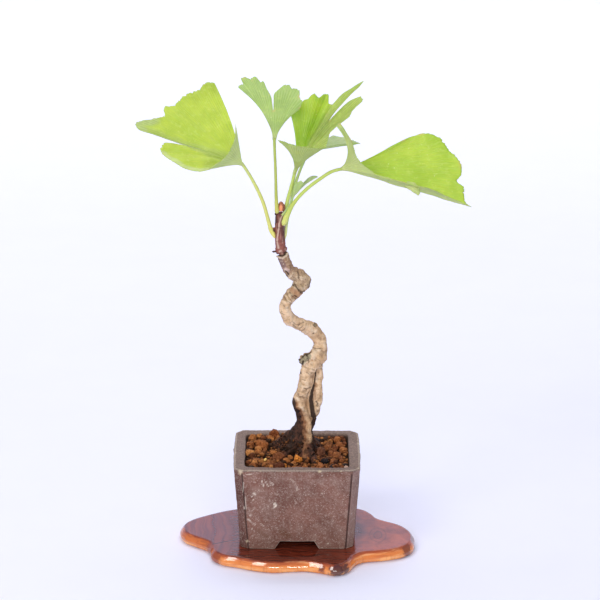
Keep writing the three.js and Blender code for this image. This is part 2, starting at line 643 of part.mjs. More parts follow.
// The blade as a grid of points: one column for each vein drawn, from the base outwards.
function bladeGrid(leaf) {
  const tips = leaf.tips.map(vec);
  const reach = tips.map((tip) => tip.length());
  const curlKeys = leaf.curl.map((row) => row[0]);
  const curls = tips.map((_, i) => [1, 2, 3].map(
    (axis) => linear(curlKeys, leaf.curl.map((row) => row[axis]), i) / 100));
  const heads = tips.map((tip, i) => [tip.x, tip.y, tip.z].map(
    (value, axis) => (value - curls[i][axis] * reach[i] ** 2) / reach[i]));
  const angles = [0];
  for (let i = 1; i < tips.length; i += 1) {
    angles.push(angles[i - 1] + Math.max(tips[i].angleTo(tips[i - 1]), 0.012));
  }
  const drawn = [];
  for (let i = 0; i < tips.length - 1; i += 1) {
    const steps = Math.max(1, Math.ceil((angles[i + 1] - angles[i]) / BLADE_STEP));
    for (let k = 0; k < steps; k += 1) {
      drawn.push(angles[i] + ((angles[i + 1] - angles[i]) * k) / steps);
    }
  }
  drawn.push(angles[angles.length - 1]);
  return drawn.map((angle) => {
    const out = linear(angles, reach, angle);
    const head = [0, 1, 2].map((axis) => smooth(angles, heads.map((h) => h[axis]), angle));
    const curl = [0, 1, 2].map((axis) => linear(angles, curls.map((c) => c[axis]), angle));
    const column = [];
    for (let row = 0; row <= BLADE_ROWS; row += 1) {
      const radius = BLADE_START + ((out - BLADE_START) * row) / BLADE_ROWS;
      column.push(new THREE.Vector3(...[0, 1, 2].map(
        (axis) => leaf.junction[axis] + head[axis] * radius + curl[axis] * radius ** 2)));
    }
    return column;
  });
}

// A thin closed solid on both sides of a grid of points.
function thicken(grid, thickness) {
  const columns = grid.length;
  const rows = grid[0].length;
  const at = (i, j) => grid[Math.min(Math.max(i, 0), columns - 1)][Math.min(Math.max(j, 0), rows - 1)];
  const upper = [];
  const lower = [];
  for (let i = 0; i < columns; i += 1) {
    for (let j = 0; j < rows; j += 1) {
      const across = at(i + 1, j).clone().sub(at(i - 1, j));
      const out = at(i, j + 1).clone().sub(at(i, j - 1));
      const normal = across.cross(out).normalize().multiplyScalar(thickness / 2);
      upper.push(grid[i][j].clone().add(normal));
      lower.push(grid[i][j].clone().sub(normal));
    }
  }
  const positions = [...upper, ...lower].flatMap((p) => [p.x, p.y, p.z]);
  const triangles = [];
  const under = columns * rows;
  const index = (i, j) => i * rows + j;
  for (let i = 0; i < columns - 1; i += 1) {
    for (let j = 0; j < rows - 1; j += 1) {
      const a = index(i, j);
      const b = index(i + 1, j);
      const c = index(i + 1, j + 1);
      const d = index(i, j + 1);
      triangles.push(a, b, c, a, c, d);
      triangles.push(a + under, c + under, b + under, a + under, d + under, c + under);
    }
  }
  const rim = [];
  for (let i = 0; i < columns - 1; i += 1) rim.push(index(i, 0));
  for (let j = 0; j < rows - 1; j += 1) rim.push(index(columns - 1, j));
  for (let i = columns - 1; i > 0; i -= 1) rim.push(index(i, rows - 1));
  for (let j = rows - 1; j > 0; j -= 1) rim.push(index(0, j));
  for (let k = 0; k < rim.length; k += 1) {
    const a = rim[k];
    const b = rim[(k + 1) % rim.length];
    triangles.push(a, a + under, b + under, a, b + under, b);
  }
  return solidFrom(positions, triangles);
}

function buildLeaf(leaf, wood) {
  const blade = thicken(bladeGrid(leaf), BLADE_THICKNESS);
  const stalk = limb(leaf.stalk, { sides: 8, steps: 2 });
  const joint = lump(leaf.junction, leaf.joint || JOINT_RADII);
  return largestPiece(blade.add(stalk).add(joint).subtract(wood));
}

// ---------------------------------------------------------------------------------------
// Soil: a body of earth with clay granules sunk into its surface
// ---------------------------------------------------------------------------------------
// The granules that stand out, as [x, y, height above the soil, radii].
const BIG_GRANULES = [
  [-9.7, -6, 0.6, [4, 3.6, 3.2]], [-19, 12, 0.8, [4.2, 3.6, 3]], [-11.8, 26, 1.4, [4, 2.6, 3]],
  [14.5, 0, 0.6, [3, 4.6, 2.8]], [-25.4, 2, 0.6, [3.3, 2.2, 2]], [1.5, -11.5, 1.2, [2.2, 2.1, 2.2]],
  [-17.5, -14, 1, [3.4, 1.6, 1.5]],
];

function granule(random, centre, radii) {
  const ball = new THREE.IcosahedronGeometry(1, 0);
  ball.deleteAttribute('normal');
  ball.deleteAttribute('uv');
  const stone = mergeVertices(ball, 1e-4);
  const points = stone.attributes.position;
  for (let i = 0; i < points.count; i += 1) {
    const swell = 0.86 + 0.26 * random();
    points.setXYZ(i, points.getX(i) * swell, points.getY(i) * swell, points.getZ(i) * swell);
  }
  stone.rotateX(random() * 6.28);
  stone.rotateY(random() * 6.28);
  stone.scale(radii[0], radii[1], radii[2]);
  stone.translate(centre[0], centre[1], centre[2]);
  return solidFrom(points.array, stone.index.array);
}

function granuleSpots(random) {
  const spots = BIG_GRANULES.map(([x, y, lift, radii]) => (
    { centre: [x, y, SOIL_TOP + lift - radii[2] * 0.35], radii }));
  let tries = 0;
  while (spots.length < GRANULE_COUNT && tries < 6000) {
    tries += 1;
    const [low, high] = GRANULE_RADIUS;
    const r = low + (high - low) * random() ** 1.6;
    const room = insideHalf(SOIL_TOP, GAP + r * 0.9);
    const x = (random() * 2 - 1) * room;
    const y = (random() * 2 - 1) * room;
    const crowded = spots.some((s) => Math.hypot(s.centre[0] - x, s.centre[1] - y)
      < 0.62 * (r + Math.min(s.radii[0], s.radii[1])));
    const atTrunk = Math.hypot(x - TRUNK[2][0], y - TRUNK[2][1]) < TRUNK[2][3] + r * 0.4;
    if (crowded || atTrunk) continue;
    const flat = 0.75 + 0.25 * random();
    spots.push({ centre: [x, y, SOIL_TOP + (random() - 0.55) * 0.9], radii: [r, r * flat, r * 0.9] });
  }
  return spots;
}

function buildSoil(tree) {
  const random = seeded(41);
  const bottom = POT_FLOOR_TOP + GAP;
  const room = (z, extra = 0) => insideRing(insideHalf(z, GAP + extra), z, 2.8);
  const earth = loft([room(bottom, 3.1), room(POT_FLOOR_TOP + 3.3), room(SOIL_TOP)]);
  const limit = loft([room(SOIL_TOP - 8, 0.02), room(RIM + 8, 0.02)]);
  const stones = granuleSpots(random).map(({ centre, radii }) => granule(random, centre, radii));
  const pocket = block(NET_SIZE + 2 * GAP, 2 * (NET_THICKNESS + GAP), 0, 0, bottom);
  const whole = earth.add(unite(stones).intersect(limit));
  return largestPiece(whole.subtract(tree).subtract(pocket));
}

// ---------------------------------------------------------------------------------------
// The whole plant
// ---------------------------------------------------------------------------------------
const bonsai = new THREE.Group();
bonsai.name = 'ginkgo_bonsai';

const woodClearance = shootSolid(GAP).add(treeSolid(GAP));
bonsai.add(meshOf('stand', buildStand(), COLOURS.stand));
bonsai.add(meshOf('pot', buildPot(), COLOURS.pot));
bonsai.add(meshOf('drain_net', buildDrainNet(), COLOURS.net));
bonsai.add(meshOf('soil', buildSoil(treeSolid(GAP)), COLOURS.soil));
bonsai.add(meshOf('trunk', treeSolid(), COLOURS.oldWood));
bonsai.add(meshOf('shoot', largestPiece(shootSolid().subtract(treeSolid(GAP))), COLOURS.youngWood));
bonsai.add(meshOf('terminal_bud', buildBud(), COLOURS.bud));
for (const [name, leaf] of Object.entries(LEAVES)) {
  bonsai.add(meshOf(name, buildLeaf(leaf, woodClearance), COLOURS[leaf.finish]));
}

export default bonsai;
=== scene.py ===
import math

import bpy
import numpy as np
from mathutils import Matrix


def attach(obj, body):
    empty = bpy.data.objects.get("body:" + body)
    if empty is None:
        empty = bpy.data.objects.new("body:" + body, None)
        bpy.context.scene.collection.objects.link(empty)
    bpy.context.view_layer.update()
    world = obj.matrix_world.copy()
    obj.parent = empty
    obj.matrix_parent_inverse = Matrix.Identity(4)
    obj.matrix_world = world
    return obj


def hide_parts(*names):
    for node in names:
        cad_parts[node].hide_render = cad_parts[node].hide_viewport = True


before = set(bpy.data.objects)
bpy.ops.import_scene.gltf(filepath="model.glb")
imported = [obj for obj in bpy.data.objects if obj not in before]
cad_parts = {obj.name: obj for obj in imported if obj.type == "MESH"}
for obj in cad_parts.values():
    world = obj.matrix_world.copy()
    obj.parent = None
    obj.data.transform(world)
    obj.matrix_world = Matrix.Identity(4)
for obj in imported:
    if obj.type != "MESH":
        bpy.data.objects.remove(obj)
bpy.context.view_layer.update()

MM = 0.001
TAU = 2 * math.pi

# Stand and pot, as in the CAD model
STAND_THICKNESS = 6.5
STAND_EDGE_ROUND = 2.4
POT_TOP_WIDTH = 69.2
POT_BASE_WIDTH = 62.4
POT_HEIGHT = 46.7
POT_WALL = 5.8
POT_FOOT_HEIGHT = 4.4
POT_FLOOR = 5.0
POT_CHAMFER = 3.9
POT_BULGE = 0.5
GROOVE_WIDTH = 1.0
GROOVE_DEPTH = 0.6
NOTCH_TOP = 19.0
NOTCH_BOTTOM = 24.5
DRAIN_RADIUS = 4.5
POT_BOTTOM = STAND_THICKNESS
RIM = POT_BOTTOM + POT_HEIGHT
POT_FLOOR_TOP = POT_BOTTOM + POT_FOOT_HEIGHT + POT_FLOOR
SOIL_TOP = RIM - 2.2

# Shapes of the CAD model: stations are [x, y, z, radius]
STAND_OUTLINE = [
    [65.2, -14], [64.9, -4], [62, 3.4], [57.5, 9.6], [50.5, 15], [46.6, 18.8], [43.6, 26],
    [38.8, 33], [32, 36.6], [22, 39.3], [8, 40.8], [-8, 41], [-22, 39.3], [-32, 35.8],
    [-42, 31.2], [-53.5, 23], [-61, 16], [-64.8, 9], [-65.2, 1.5], [-62.8, -7], [-57.6, -12.6],
    [-50.4, -20], [-48.2, -26], [-46.6, -35], [-41.2, -41.4], [-33, -45.3], [-22, -50.8],
    [-12, -53], [-2, -51.4], [5, -51.2], [12.9, -54], [20.4, -57.4], [25.1, -55.6],
    [28.9, -51], [33, -41.2], [37.1, -37.5], [49, -34.6], [58.7, -29.6], [63.8, -22.5],
]
TRUNK = [
    [3.3, 3, 38, 2.6], [3.3, 3, 46, 4.6], [3.3, 3, 52, 5.6], [3.4, 3, 58, 4.9], [3.9, 2, 67.2, 4.4],
    [3.9, 2, 71.5, 4.2], [2.9, 1, 75.8, 4.0], [1.7, 0, 79.5, 3.9], [1.9, 0, 84, 3.6],
    [3.4, -1, 89, 3.6], [5, -1, 94.4, 3.7], [6, -0.5, 99, 4.3], [8.5, 0.5, 104, 4.9],
    [12, 2, 109, 4.6], [12.9, 3.5, 113.6, 3.6], [11.4, 4, 118.2, 3.8], [8.2, 3, 122, 4.1],
    [3.9, 0, 125.3, 3.4], [-0.2, -2, 127.6, 3.3], [-4.4, -4, 131, 3.5], [-6.3, -5, 135.2, 3.2],
    [-6.4, -5, 138.8, 3.0], [-4.1, -3, 142.4, 3.5], [-0.4, 0, 145.8, 3.8], [3.6, 3, 149.4, 4.2],
    [2, 3, 152.6, 3.9], [-1.8, 2, 154.2, 3.4], [-4.4, 1, 157, 3.2], [-5.8, 0, 160.6, 3.1],
    [-7.2, 0, 164, 3.1], [-8.4, 0, 166.3, 3.1],
]
SECOND_STEM = [
    [6.4, 2, 60, 1.1], [7.6, 1.8, 65, 1.3], [8.6, 1.2, 69, 1.4], [9.4, 0.5, 72.5, 1.6],
    [10.4, -0.5, 76.5, 2.1], [11.1, -0.5, 80.5, 2.5], [11.6, -0.5, 85.5, 2.5],
    [12, 0, 91, 2.3], [12.2, 0.3, 96, 2.0], [12.2, 0.8, 101, 2.2], [12, 1.5, 106, 2.6],
]
CLEFT = [
    [5.4, 2.4, 64, 1.8], [6.6, 2, 71, 2], [7, 1.4, 78, 2.1], [7.2, 1.2, 85, 2.2],
    [8.4, 1, 92, 2.2], [9.4, 1, 99, 2.2],
]
SNAG = [
    [11, 0.5, 108.6, 2.9], [7, -1.4, 107.8, 2.6], [4, -2.2, 106.3, 2.5], [2.2, -2.4, 105, 2.1],
]
ROOTS = [
    [[2.5, 2, 62, 3.4], [-1.6, 0.4, 55.6, 3.3], [-6.5, -2, 51.6, 2.5], [-12, -5, 46, 1.0]],
    [[3, 1, 62, 3.4], [2.2, -4, 54.4, 2.9], [0.8, -9, 51.2, 2.1], [-0.5, -14, 46, 0.9]],
    [[2, 3.5, 61, 3.2], [-3.5, 4.5, 55, 2.8], [-9.5, 6.5, 51.4, 2.0], [-14.5, 8, 46, 1.0]],
    [[5, 0.2, 75, 1.7], [6.3, -1.8, 68, 2.0], [6.5, -2.6, 60, 2.1], [6.8, -3.6, 53, 1.9],
        [7, -5, 46, 1.0]],
    [[5, 3.5, 60, 3.0], [8.5, 5, 53.2, 2.4], [12.5, 6.5, 50.2, 1.6], [17, 8, 45.5, 0.9]],
    [[3, 4, 60, 3.2], [2.2, 9, 53, 2.3], [1, 14, 50, 1.6], [-1, 19, 45, 0.9]],
    [[5, 1, 59, 3.0], [7.5, -6.5, 53, 2.5], [9.8, -12, 50.6, 1.7], [11.5, -17, 46, 0.9]],
]
KNOBS = [
    # healed cuts, swellings at the bends and old bud rings: centre, radii
    [[9.4, 1.4, 124.6], [1.9, 1.6, 1.7]],
    [[-0.6, 2.2, 156.6], [1.6, 1.6, 1.5]],
    [[13.6, 1.8, 107], [3, 3, 4]],
    [[0.6, -1.6, 80.5], [1.8, 1.8, 2.4]],
    [[2, -2.6, 88], [2.6, 1.5, 1.7]],
    [[-5.4, -0.4, 164.8], [1.1, 1.4, 1.3]],
]
SHOOT = [
    [-8.5, 0, 166.6, 3.1], [-8.7, 0, 168.2, 3.0], [-8.9, 0, 170.5, 2.8], [-9.2, 0, 174, 2.75],
    [-9.4, 0, 178, 2.75], [-9.3, 0, 183, 2.7], [-9.4, 0, 187, 2.4], [-9.5, -0.2, 189.6, 1.9],
]
SHOOT_KNOBS = [
    [[-12.5, -0.6, 180], [1.2, 1.1, 1.5]],
    [[-12.2, -0.2, 167.6], [1.4, 0.8, 0.6]],
    [[-6.6, 0.4, 169], [1.3, 1.5, 1.2]],
    [[-11, -0.8, 189], [1.2, 1.2, 0.9]],
]
LEAVES = {
    "leaf_left": {
        "junction": [-29.6, -4, 217.7],
        "stalk": [
            [-12.0, -0.8, 175.6, 0.6], [-12.9, -0.8, 177.6, 1.25], [-14.1, -0.8, 180.0, 1.35],
            [-15.2, -1.3, 184, 1.1], [-17.7, -2, 193.7, 1], [-20.5, -2.6, 201.2, 1],
            [-24.4, -3.3, 209.2, 0.9], [-27.3, -3.8, 214.3, 0.9], [-29.6, -4, 217.7, 0.9],
            [-31, -4.6, 220, 0.7],
        ],
        "tips": [
            [-3, -14, 25.5], [-3.5, -11, 18], [-4.5, -10, 13.5], [-7, -11, 9], [-9.5, -12, 6],
            [-14, -13, 3], [-18.5, -15, 0.5], [-22.5, -16, 0], [-29.5, -17, 1.5], [-36.5, -16.5, 5.5],
            [-42, -15, 9], [-43.5, -13.5, 11.5], [-41, -11, 14.5], [-10.5, -1.5, 4.5], [-54.5, 2, 18],
            [-57.5, 5, 21], [-48.5, 10, 22.5], [-42, 12, 24], [-42.5, 15, 28], [-36.5, 18, 28.5],
            [-33, 22, 32], [-28.5, 25, 33.5], [-23.5, 27, 35], [-22, 30, 37], [-18.5, 32, 38],
            [-15, 32, 37.5],
        ],
        "curl": [
            [0, 0, 0, 0], [3, 0, 0, 0.2], [7, 0, 0, -0.5], [11, 0, 0, -0.1], [13, 0, 0, 0],
            [16, 0, 0, -0.05], [22, 0, 0, 0], [25, -0.25, 0, -0.05],
        ],
    },
    "leaf_upright": {
        "junction": [-12.1, -7, 232.2],
        "stalk": [
            [-10.7, -1.9, 190.0, 0.95], [-10.9, -2.3, 191.2, 1.3], [-11, -2.7, 193.0, 1.15],
            [-11.3, -3, 200, 0.9], [-11.5, -3.9, 211.4, 0.8], [-11.9, -5.5, 223, 0.8],
            [-12.1, -6.7, 230, 0.8], [-12.1, -7.4, 234, 0.8],
        ],
        "tips": [
            [13, -6, 17.5], [14.5, -7, 20.5], [13.5, -8.5, 25], [13, -10, 29.5], [9.5, -10.5, 30],
            [7.5, -11.5, 32.5], [4.5, -11.5, 32], [2.5, -11, 30], [0, -10, 27], [-0.5, -6, 17],
            [-1.5, -9, 25], [-4, -11, 30.5], [-5.2, -11.9, 33.9], [-7.4, -12.2, 34.5], [-10, -13, 37.5],
            [-12.5, -13, 36], [-15.5, -13.2, 37], [-17.5, -13, 36.5], [-16.5, -11.5, 32.5],
            [-18.5, -11, 32], [-19, -10, 30.5],
        ],
        "curl": [
            [0, 1.1, 0, -0.6], [2, 0.3, 0, -0.1], [6, 0, 0, 0], [9, 0, 0, 0], [14, -0.1, 0, 0],
            [17, -0.4, 0, -0.2], [20, -0.75, 0, -0.45],
        ],
    },
    "leaf_funnel": {
        "junction": [-1.3, -1, 211.9],
        "stalk": [
            [-8.4, 0, 184.5, 1.2], [-6.6, 0.8, 189.6, 1.15], [-5, 1.3, 196.4, 1.1], [-3.5, 0.8, 202, 1.1],
            [-2.1, -0.2, 207.8, 1], [-1.3, -1, 211.9, 1], [-0.9, -1.6, 214.6, 0.8],
        ],
        "tips": [
            [-2.5, 9, 31.5], [-2, 11, 35.5], [1, 12, 37], [3.5, 13, 37], [7, 14, 38], [10.5, 15, 40.5],
            [13.5, 15, 38.5], [16, 17, 40], [18, 19, 39.5], [19, 17, 35], [20.4, 11, 35.5], [25.5, 12, 41],
            [30.2, 13.5, 43.7], [37.5, 15, 47], [32.5, 12, 43], [17.2, 6.2, 26], [28.5, 9.6, 37.2],
            [34, 11, 39.5], [35.5, 11, 40], [38, 8, 38], [33, 5, 36], [30.5, 2.5, 33.5], [30, 0, 31.5],
            [24.5, -3, 28.5], [19.5, -6, 24.5], [18, -8, 21.5], [17, -11, 17], [11, -17, 18],
            [5.5, -21, 20], [1, -23, 21], [-5, -24, 23], [-8.5, -24, 24.5],
        ],
        "curl": [
            [0, -0.7, 0, 0], [2, -0.4, 0, 0], [5, 0, 0, 0], [9, 0.1, 0, 0], [13, 0.25, 0, -0.1],
            [19, 0.3, 0, -0.1], [24, 0.6, 0, -0.2], [26, 0.8, 0, -0.5], [28, 0.1, 0, 0],
            [31, -0.9, 0, -0.3],
        ],
    },
    "leaf_right": {
        "junction": [24.3, -6, 215.5],
        "stalk": [
            [-7.5, -2.9, 183.4, 0.8], [-7.0, -3.3, 184.8, 1.5], [-6.1, -3.9, 187.2, 1.7],
            [-5.1, -4.3, 189.6, 1.5], [-2.8, -5, 194.5, 1.2], [1.1, -5.8, 200, 1], [6.5, -6.4, 205.5, 1],
            [12.5, -6.6, 210.1, 1], [18.4, -6.4, 213.9, 1], [24.3, -6, 215.5, 0.9], [26.6, -6, 215.8, 0.8],
        ],
        "tips": [
            [26.5, 9, 10.5], [33.3, 11.6, 13], [39.5, 14, 15], [45.5, 15, 16], [50.5, 15, 15],
            [53.5, 14.5, 13.5], [56, 13, 10.5], [59, 11, 6.5], [61.5, 10, 5], [65, 6, -1], [64.5, 4, -4.5],
            [62, 1.5, -7], [66, 0, -10.5], [66, -3, -14], [67, -6, -17.5], [69.5, -8, -19],
            [59.5, -11, -13.5], [51, -13, -9.5], [46, -14, -7.5], [39.5, -15, -6], [33, -15, -3.5],
            [25.5, -15, -2], [20, -14, -1], [16, -13, 1.5], [11, -12, 5.5], [7.5, -13, 10.5],
            [5, -13.5, 18], [2, -13, 23.5], [-1.5, -12.5, 28], [-3.5, -12, 26.5],
        ],
        "curl": [
            [0, 0, 0, 0.55], [3, 0, 0, 0.2], [8, 0, 0, 0], [15, 0, 0, 0.02], [19, 0, 0, -0.05],
            [22, 0, 0, -0.3], [24, -0.2, 0, -0.5], [26, -1.6, 0, 0], [29, -2.1, 0, 0.2],
        ],
    },
    "leaf_back": {
        "junction": [7.1, 12, 221],
        "stalk": [
            [-7.6, 1, 173.4, 0.9], [-6.2, 2.0, 176.8, 0.8], [-5.8, 2.2, 181, 0.8], [-4.8, 3.2, 187.3, 0.9],
            [-3.3, 4.6, 193.8, 0.8], [-1.7, 5, 201, 0.8], [0, 5.4, 207, 0.8], [2.2, 7, 212.8, 0.8],
            [4.9, 10.2, 218.1, 0.8], [7.1, 12, 221, 0.8], [9, 13, 222, 0.7],
        ],
        "tips": [
            [9.5, -12, 5.5], [15, -9, 5.5], [21, -4, 4.5], [23, 3, 4], [27.5, 6, 2.5], [23.5, 12, 3],
            [21.5, 17, 2.5], [17, 25, 2], [13, 28, 2], [8.8, 20.5, 1.8], [6.5, 29, 1], [0.5, 29, 0.5],
            [-4.5, 24, 0.5],
        ],
        "curl": [[0, 0, 0, -0.3], [6, 0, 0, 0], [12, -0.2, 0, -0.2]],
    },
    "leaf_young": {
        "junction": [-2.5, -2.2, 198.2],
        "stalk": [
            [-8, -1.8, 188.6, 0.7], [-5.7, -2.6, 191.6, 0.7], [-4.1, -2.6, 194.2, 0.65],
            [-3.1, -2.4, 196.6, 0.65], [-2.5, -2.2, 198.2, 0.65], [-1.8, -2, 200, 0.6],
        ],
        "tips": [
            [1, -1.5, 8], [3, -2, 9.5], [5, -3, 10.5], [6, -4, 9], [4.9, -3.1, 7], [7.5, 0, 10],
            [10.5, 3, 11.5], [14, 5, 10.5], [11, 8, 8.5], [7.5, 8, 6], [4, 6, 3],
        ],
        "curl": [[0, 0, 0, 0], [4, 0, 0, 0], [7, 1.5, 0, -1.5], [10, 0, 0, 0]],
    },
}
BUD_BASE = [-8.6, -0.7, 190.7]
BUD_HEIGHT = 5.6
BUD_RADIUS = 1.95

# ---------------------------------------------------------------------------------------
# Curves and noise
# ---------------------------------------------------------------------------------------
def smooth(keys, values, x):
    """A smooth curve through values at uneven keys (cubic Hermite with central slopes)."""
    keys = np.asarray(keys, float)
    values = np.asarray(values, float).reshape(len(keys), -1)
    last = len(keys) - 1
    before = np.maximum(np.arange(last + 1) - 1, 0)
    after = np.minimum(np.arange(last + 1) + 1, last)
    slope = (values[after] - values[before]) / (keys[after] - keys[before])[:, None]
    x = np.asarray(x, float)
    i = np.searchsorted(keys[1:last], x, side="left")
    h = keys[i + 1] - keys[i]
    t = np.clip((x - keys[i]) / h, 0, 1)[:, None]
    h = h[:, None]
    return (
        (2 * t**3 - 3 * t**2 + 1) * values[i]
        + (t**3 - 2 * t**2 + t) * h * slope[i]
        + (3 * t**2 - 2 * t**3) * values[i + 1]
        + (t**3 - t**2) * h * slope[i + 1]
    )


def ramp(low, high, x):
    """0 below low, 1 above high (or the other way round), smooth between."""
    t = np.clip((x - low) / (high - low), 0, 1)
    return t * t * (3 - 2 * t)


def unit(v):
    """Vectors of length 1."""
    return v / np.maximum(np.linalg.norm(v, axis=-1, keepdims=True), 1e-12)


def corner_values(i, seed):
    """A repeatable value from 0 to 1 for each point of a whole-number lattice."""
    h = i[..., 0] * 374761393 + i[..., 1] * 668265263 + i[..., 2] * 1442695041 + seed * 1274126177
    h = (h ^ (h >> 13)) & 0xFFFFFFFF
    h = (h * 1274126177) & 0xFFFFFFFF
    h = (h ^ (h >> 16)) & 0xFFFFFFFF
    h = (h * 668265263) & 0xFFFFFFFF
    return ((h >> 8) & 0xFFFF) / 65535.0


def noise(points, size, seed):
    """Smooth noise from -1 to 1, with features about size across."""
    q = np.asarray(points, float) / size
    base = np.floor(q).astype(np.int64)
    f = q - base
    f = f * f * f * (f * (f * 6 - 15) + 10)
    total = np.zeros(q.shape[:-1])
    for corner in range(8):
        step = np.array([corner & 1, (corner >> 1) & 1, corner >> 2])
        weight = np.prod(np.where(step, f, 1 - f), axis=-1)
        total += weight * corner_values(base + step, seed)
    return total * 2 - 1


def layered(points, size, layers, seed):
    """Noise of several sizes, each half the last."""
    total, share = 0.0, 0.0
    for k in range(layers):
        total = total + noise(points, size / 2**k, seed + 31 * k) * 0.5**k
        share += 0.5**k
    return total / share


# ---------------------------------------------------------------------------------------
# Meshes
# ---------------------------------------------------------------------------------------
def grid_faces(rows, columns, wrap=False):
    """Quads of a grid whose points run along the columns of each row."""
    i, j = np.meshgrid(np.arange(rows - 1), np.arange(columns if wrap else columns - 1), indexing="ij")
    n = (j + 1) % columns
    quads = np.stack([i * columns + j, i * columns + n, (i + 1) * columns + n, (i + 1) * columns + j], -1)
    return quads.reshape(-1, 4)


def cap_faces(sides, last_ring, total):
    """Fans from the last two points of a wrapped grid to its first and its last ring."""
    k = np.arange(sides)
    n = (k + 1) % sides
    top = last_ring * sides
    return np.concatenate([
        np.stack([np.full(sides, total - 2), n, k], -1),
        np.stack([np.full(sides, total - 1), top + k, top + n], -1)])


def rim_walls(rows, columns):
    """Quads that join the rim of a grid to the rim of a second grid that follows it."""
    rim = np.concatenate([
        np.arange(rows - 1) * columns, (rows - 1) * columns + np.arange(columns - 1),
        np.arange(rows - 1, 0, -1) * columns + columns - 1, np.arange(columns - 1, 0, -1)])
    after = np.roll(rim, -1)
    under = rows * columns
    return np.stack([rim, rim + under, after + under, after], -1)


def line_lengths(points):
    """Distance along a line of points, at each of them."""
    return np.concatenate([[0], np.cumsum(np.linalg.norm(np.diff(points, axis=0), axis=1))])


class Shape:
    """Points, faces and values for each point, gathered from several parts."""

    def __init__(self):
        self.points, self.faces, self.kinds, self.values, self.count = [], [], [], {}, 0

    def add(self, points, faces, kind=0, **values):
        points = np.asarray(points, float).reshape(-1, 3)
        for face_set in faces if isinstance(faces, list) else [faces]:
            self.faces.append(np.asarray(face_set) + self.count)
            self.kinds.append(np.full(len(face_set), kind))
        for name in set(self.values) | set(values):
            old = self.values.setdefault(
                name, [np.zeros((self.count,) + np.shape(values.get(name, 0))[1:])]
            )
            new = values.get(name, 0)
            shape = (len(points),) + old[0].shape[1:]
            old.append(np.broadcast_to(np.asarray(new, float), shape) if np.ndim(new) != len(shape)
                       else np.asarray(new, float))
        self.points.append(points)
        self.count += len(points)

    def all_points(self):
        return np.concatenate(self.points)

    def all_values(self, name):
        return np.concatenate(self.values[name])


def mesh_from(name, points, face_sets, scale=MM):
    """A Blender mesh from arrays of triangles and quads."""
    mesh = bpy.data.meshes.new(name)
    face_sets = [f for f in face_sets if len(f)]
    loops = np.concatenate([f.ravel() for f in face_sets])
    sizes = np.concatenate([np.full(len(f), f.shape[1]) for f in face_sets])
    mesh.vertices.add(len(points))
    mesh.vertices.foreach_set("co", (np.asarray(points) * scale).astype(np.float32).ravel())
    mesh.loops.add(len(loops))
    mesh.loops.foreach_set("vertex_index", loops.astype(np.int32))
    mesh.polygons.add(len(sizes))
    mesh.polygons.foreach_set("loop_start", np.concatenate([[0], np.cumsum(sizes)[:-1]]).astype(np.int32))
    mesh.update(calc_edges=True)
    mesh.validate()
    return mesh


def piece(name, shape, node, materials):
    """A finished piece that stands for a CAD node."""
    mesh = mesh_from(name, shape.all_points(), shape.faces)
    for material in materials:
        mesh.materials.append(material)
    mesh.polygons.foreach_set("material_index", np.concatenate(shape.kinds).astype(np.int32))
    mesh.polygons.foreach_set("use_smooth", np.full(len(mesh.polygons), True))
    for key in shape.values:
        values = shape.all_values(key)
        if values.ndim == 2:
            colour = np.concatenate([values, np.ones((len(values), 1))], axis=1)
            mesh.attributes.new(key, "FLOAT_COLOR", "POINT").data.foreach_set(
                "color", colour.astype(np.float32).ravel())
        else:
            mesh.attributes.new(key, "FLOAT", "POINT").data.foreach_set(
                "value", values.astype(np.float32))
    thing = bpy.data.objects.new(name, mesh)
    bpy.context.scene.collection.objects.link(thing)
    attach(thing, "root")
    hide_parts(node)
    return thing


def point_normals(points, face_sets):
    """Normals of the points, from the faces round them."""
    total = np.zeros_like(points)
    for faces in face_sets:
        diagonal_a = points[faces[:, 2]] - points[faces[:, 0]]
        diagonal_b = points[faces[:, -1]] - points[faces[:, 1]]
        normal = np.cross(diagonal_a, diagonal_b)
        for k in range(faces.shape[1]):
            np.add.at(total, faces[:, k], normal)
    return unit(total)


def tube(stations, sides, steps, squeeze=None):
    """A closed limb along stations: its points, faces, distance along, and angle round."""
    stations = np.asarray(stations, float)
    keys = np.arange(len(stations))
    count = (len(stations) - 1) * steps
    u = np.arange(count + 1) / steps
    centres = smooth(keys, stations[:, :3], u)
    radii = np.interp(u, keys, stations[:, 3])
    index = np.arange(count + 1)
    along = unit(centres[np.minimum(index + 1, count)] - centres[np.maximum(index - 1, 0)])
    helper = np.array([1.0, 0, 0]) if abs(along[0][0]) < 0.9 else np.array([0, 1.0, 0])
    side = unit(np.cross(along[0], helper))
    sides_axis = []
    for i in range(count + 1):
        side = unit(side - along[i] * np.dot(side, along[i]))
        sides_axis.append(side)
    first = np.array(sides_axis)
    second = np.cross(along, first)
    angle = np.arange(sides) * TAU / sides
    length = line_lengths(centres)
    reach = radii[:, None] * np.ones(sides)
    if squeeze is not None:
        reach = reach * squeeze(length[:, None], angle[None, :])
    ring = (
        centres[:, None, :]
        + first[:, None, :] * (np.cos(angle)[None, :] * reach)[..., None]
        + second[:, None, :] * (np.sin(angle)[None, :] * reach)[..., None]
    )
    points = np.concatenate([ring.reshape(-1, 3), centres[:1], centres[-1:]])
    faces = [grid_faces(count + 1, sides, wrap=True), cap_faces(sides, count, len(points))]
    distance = np.concatenate([np.repeat(length, sides), [0, length[-1]]])
    turned = np.concatenate([np.tile(angle, count + 1), [0, 0]])
    return points, faces, distance, turned


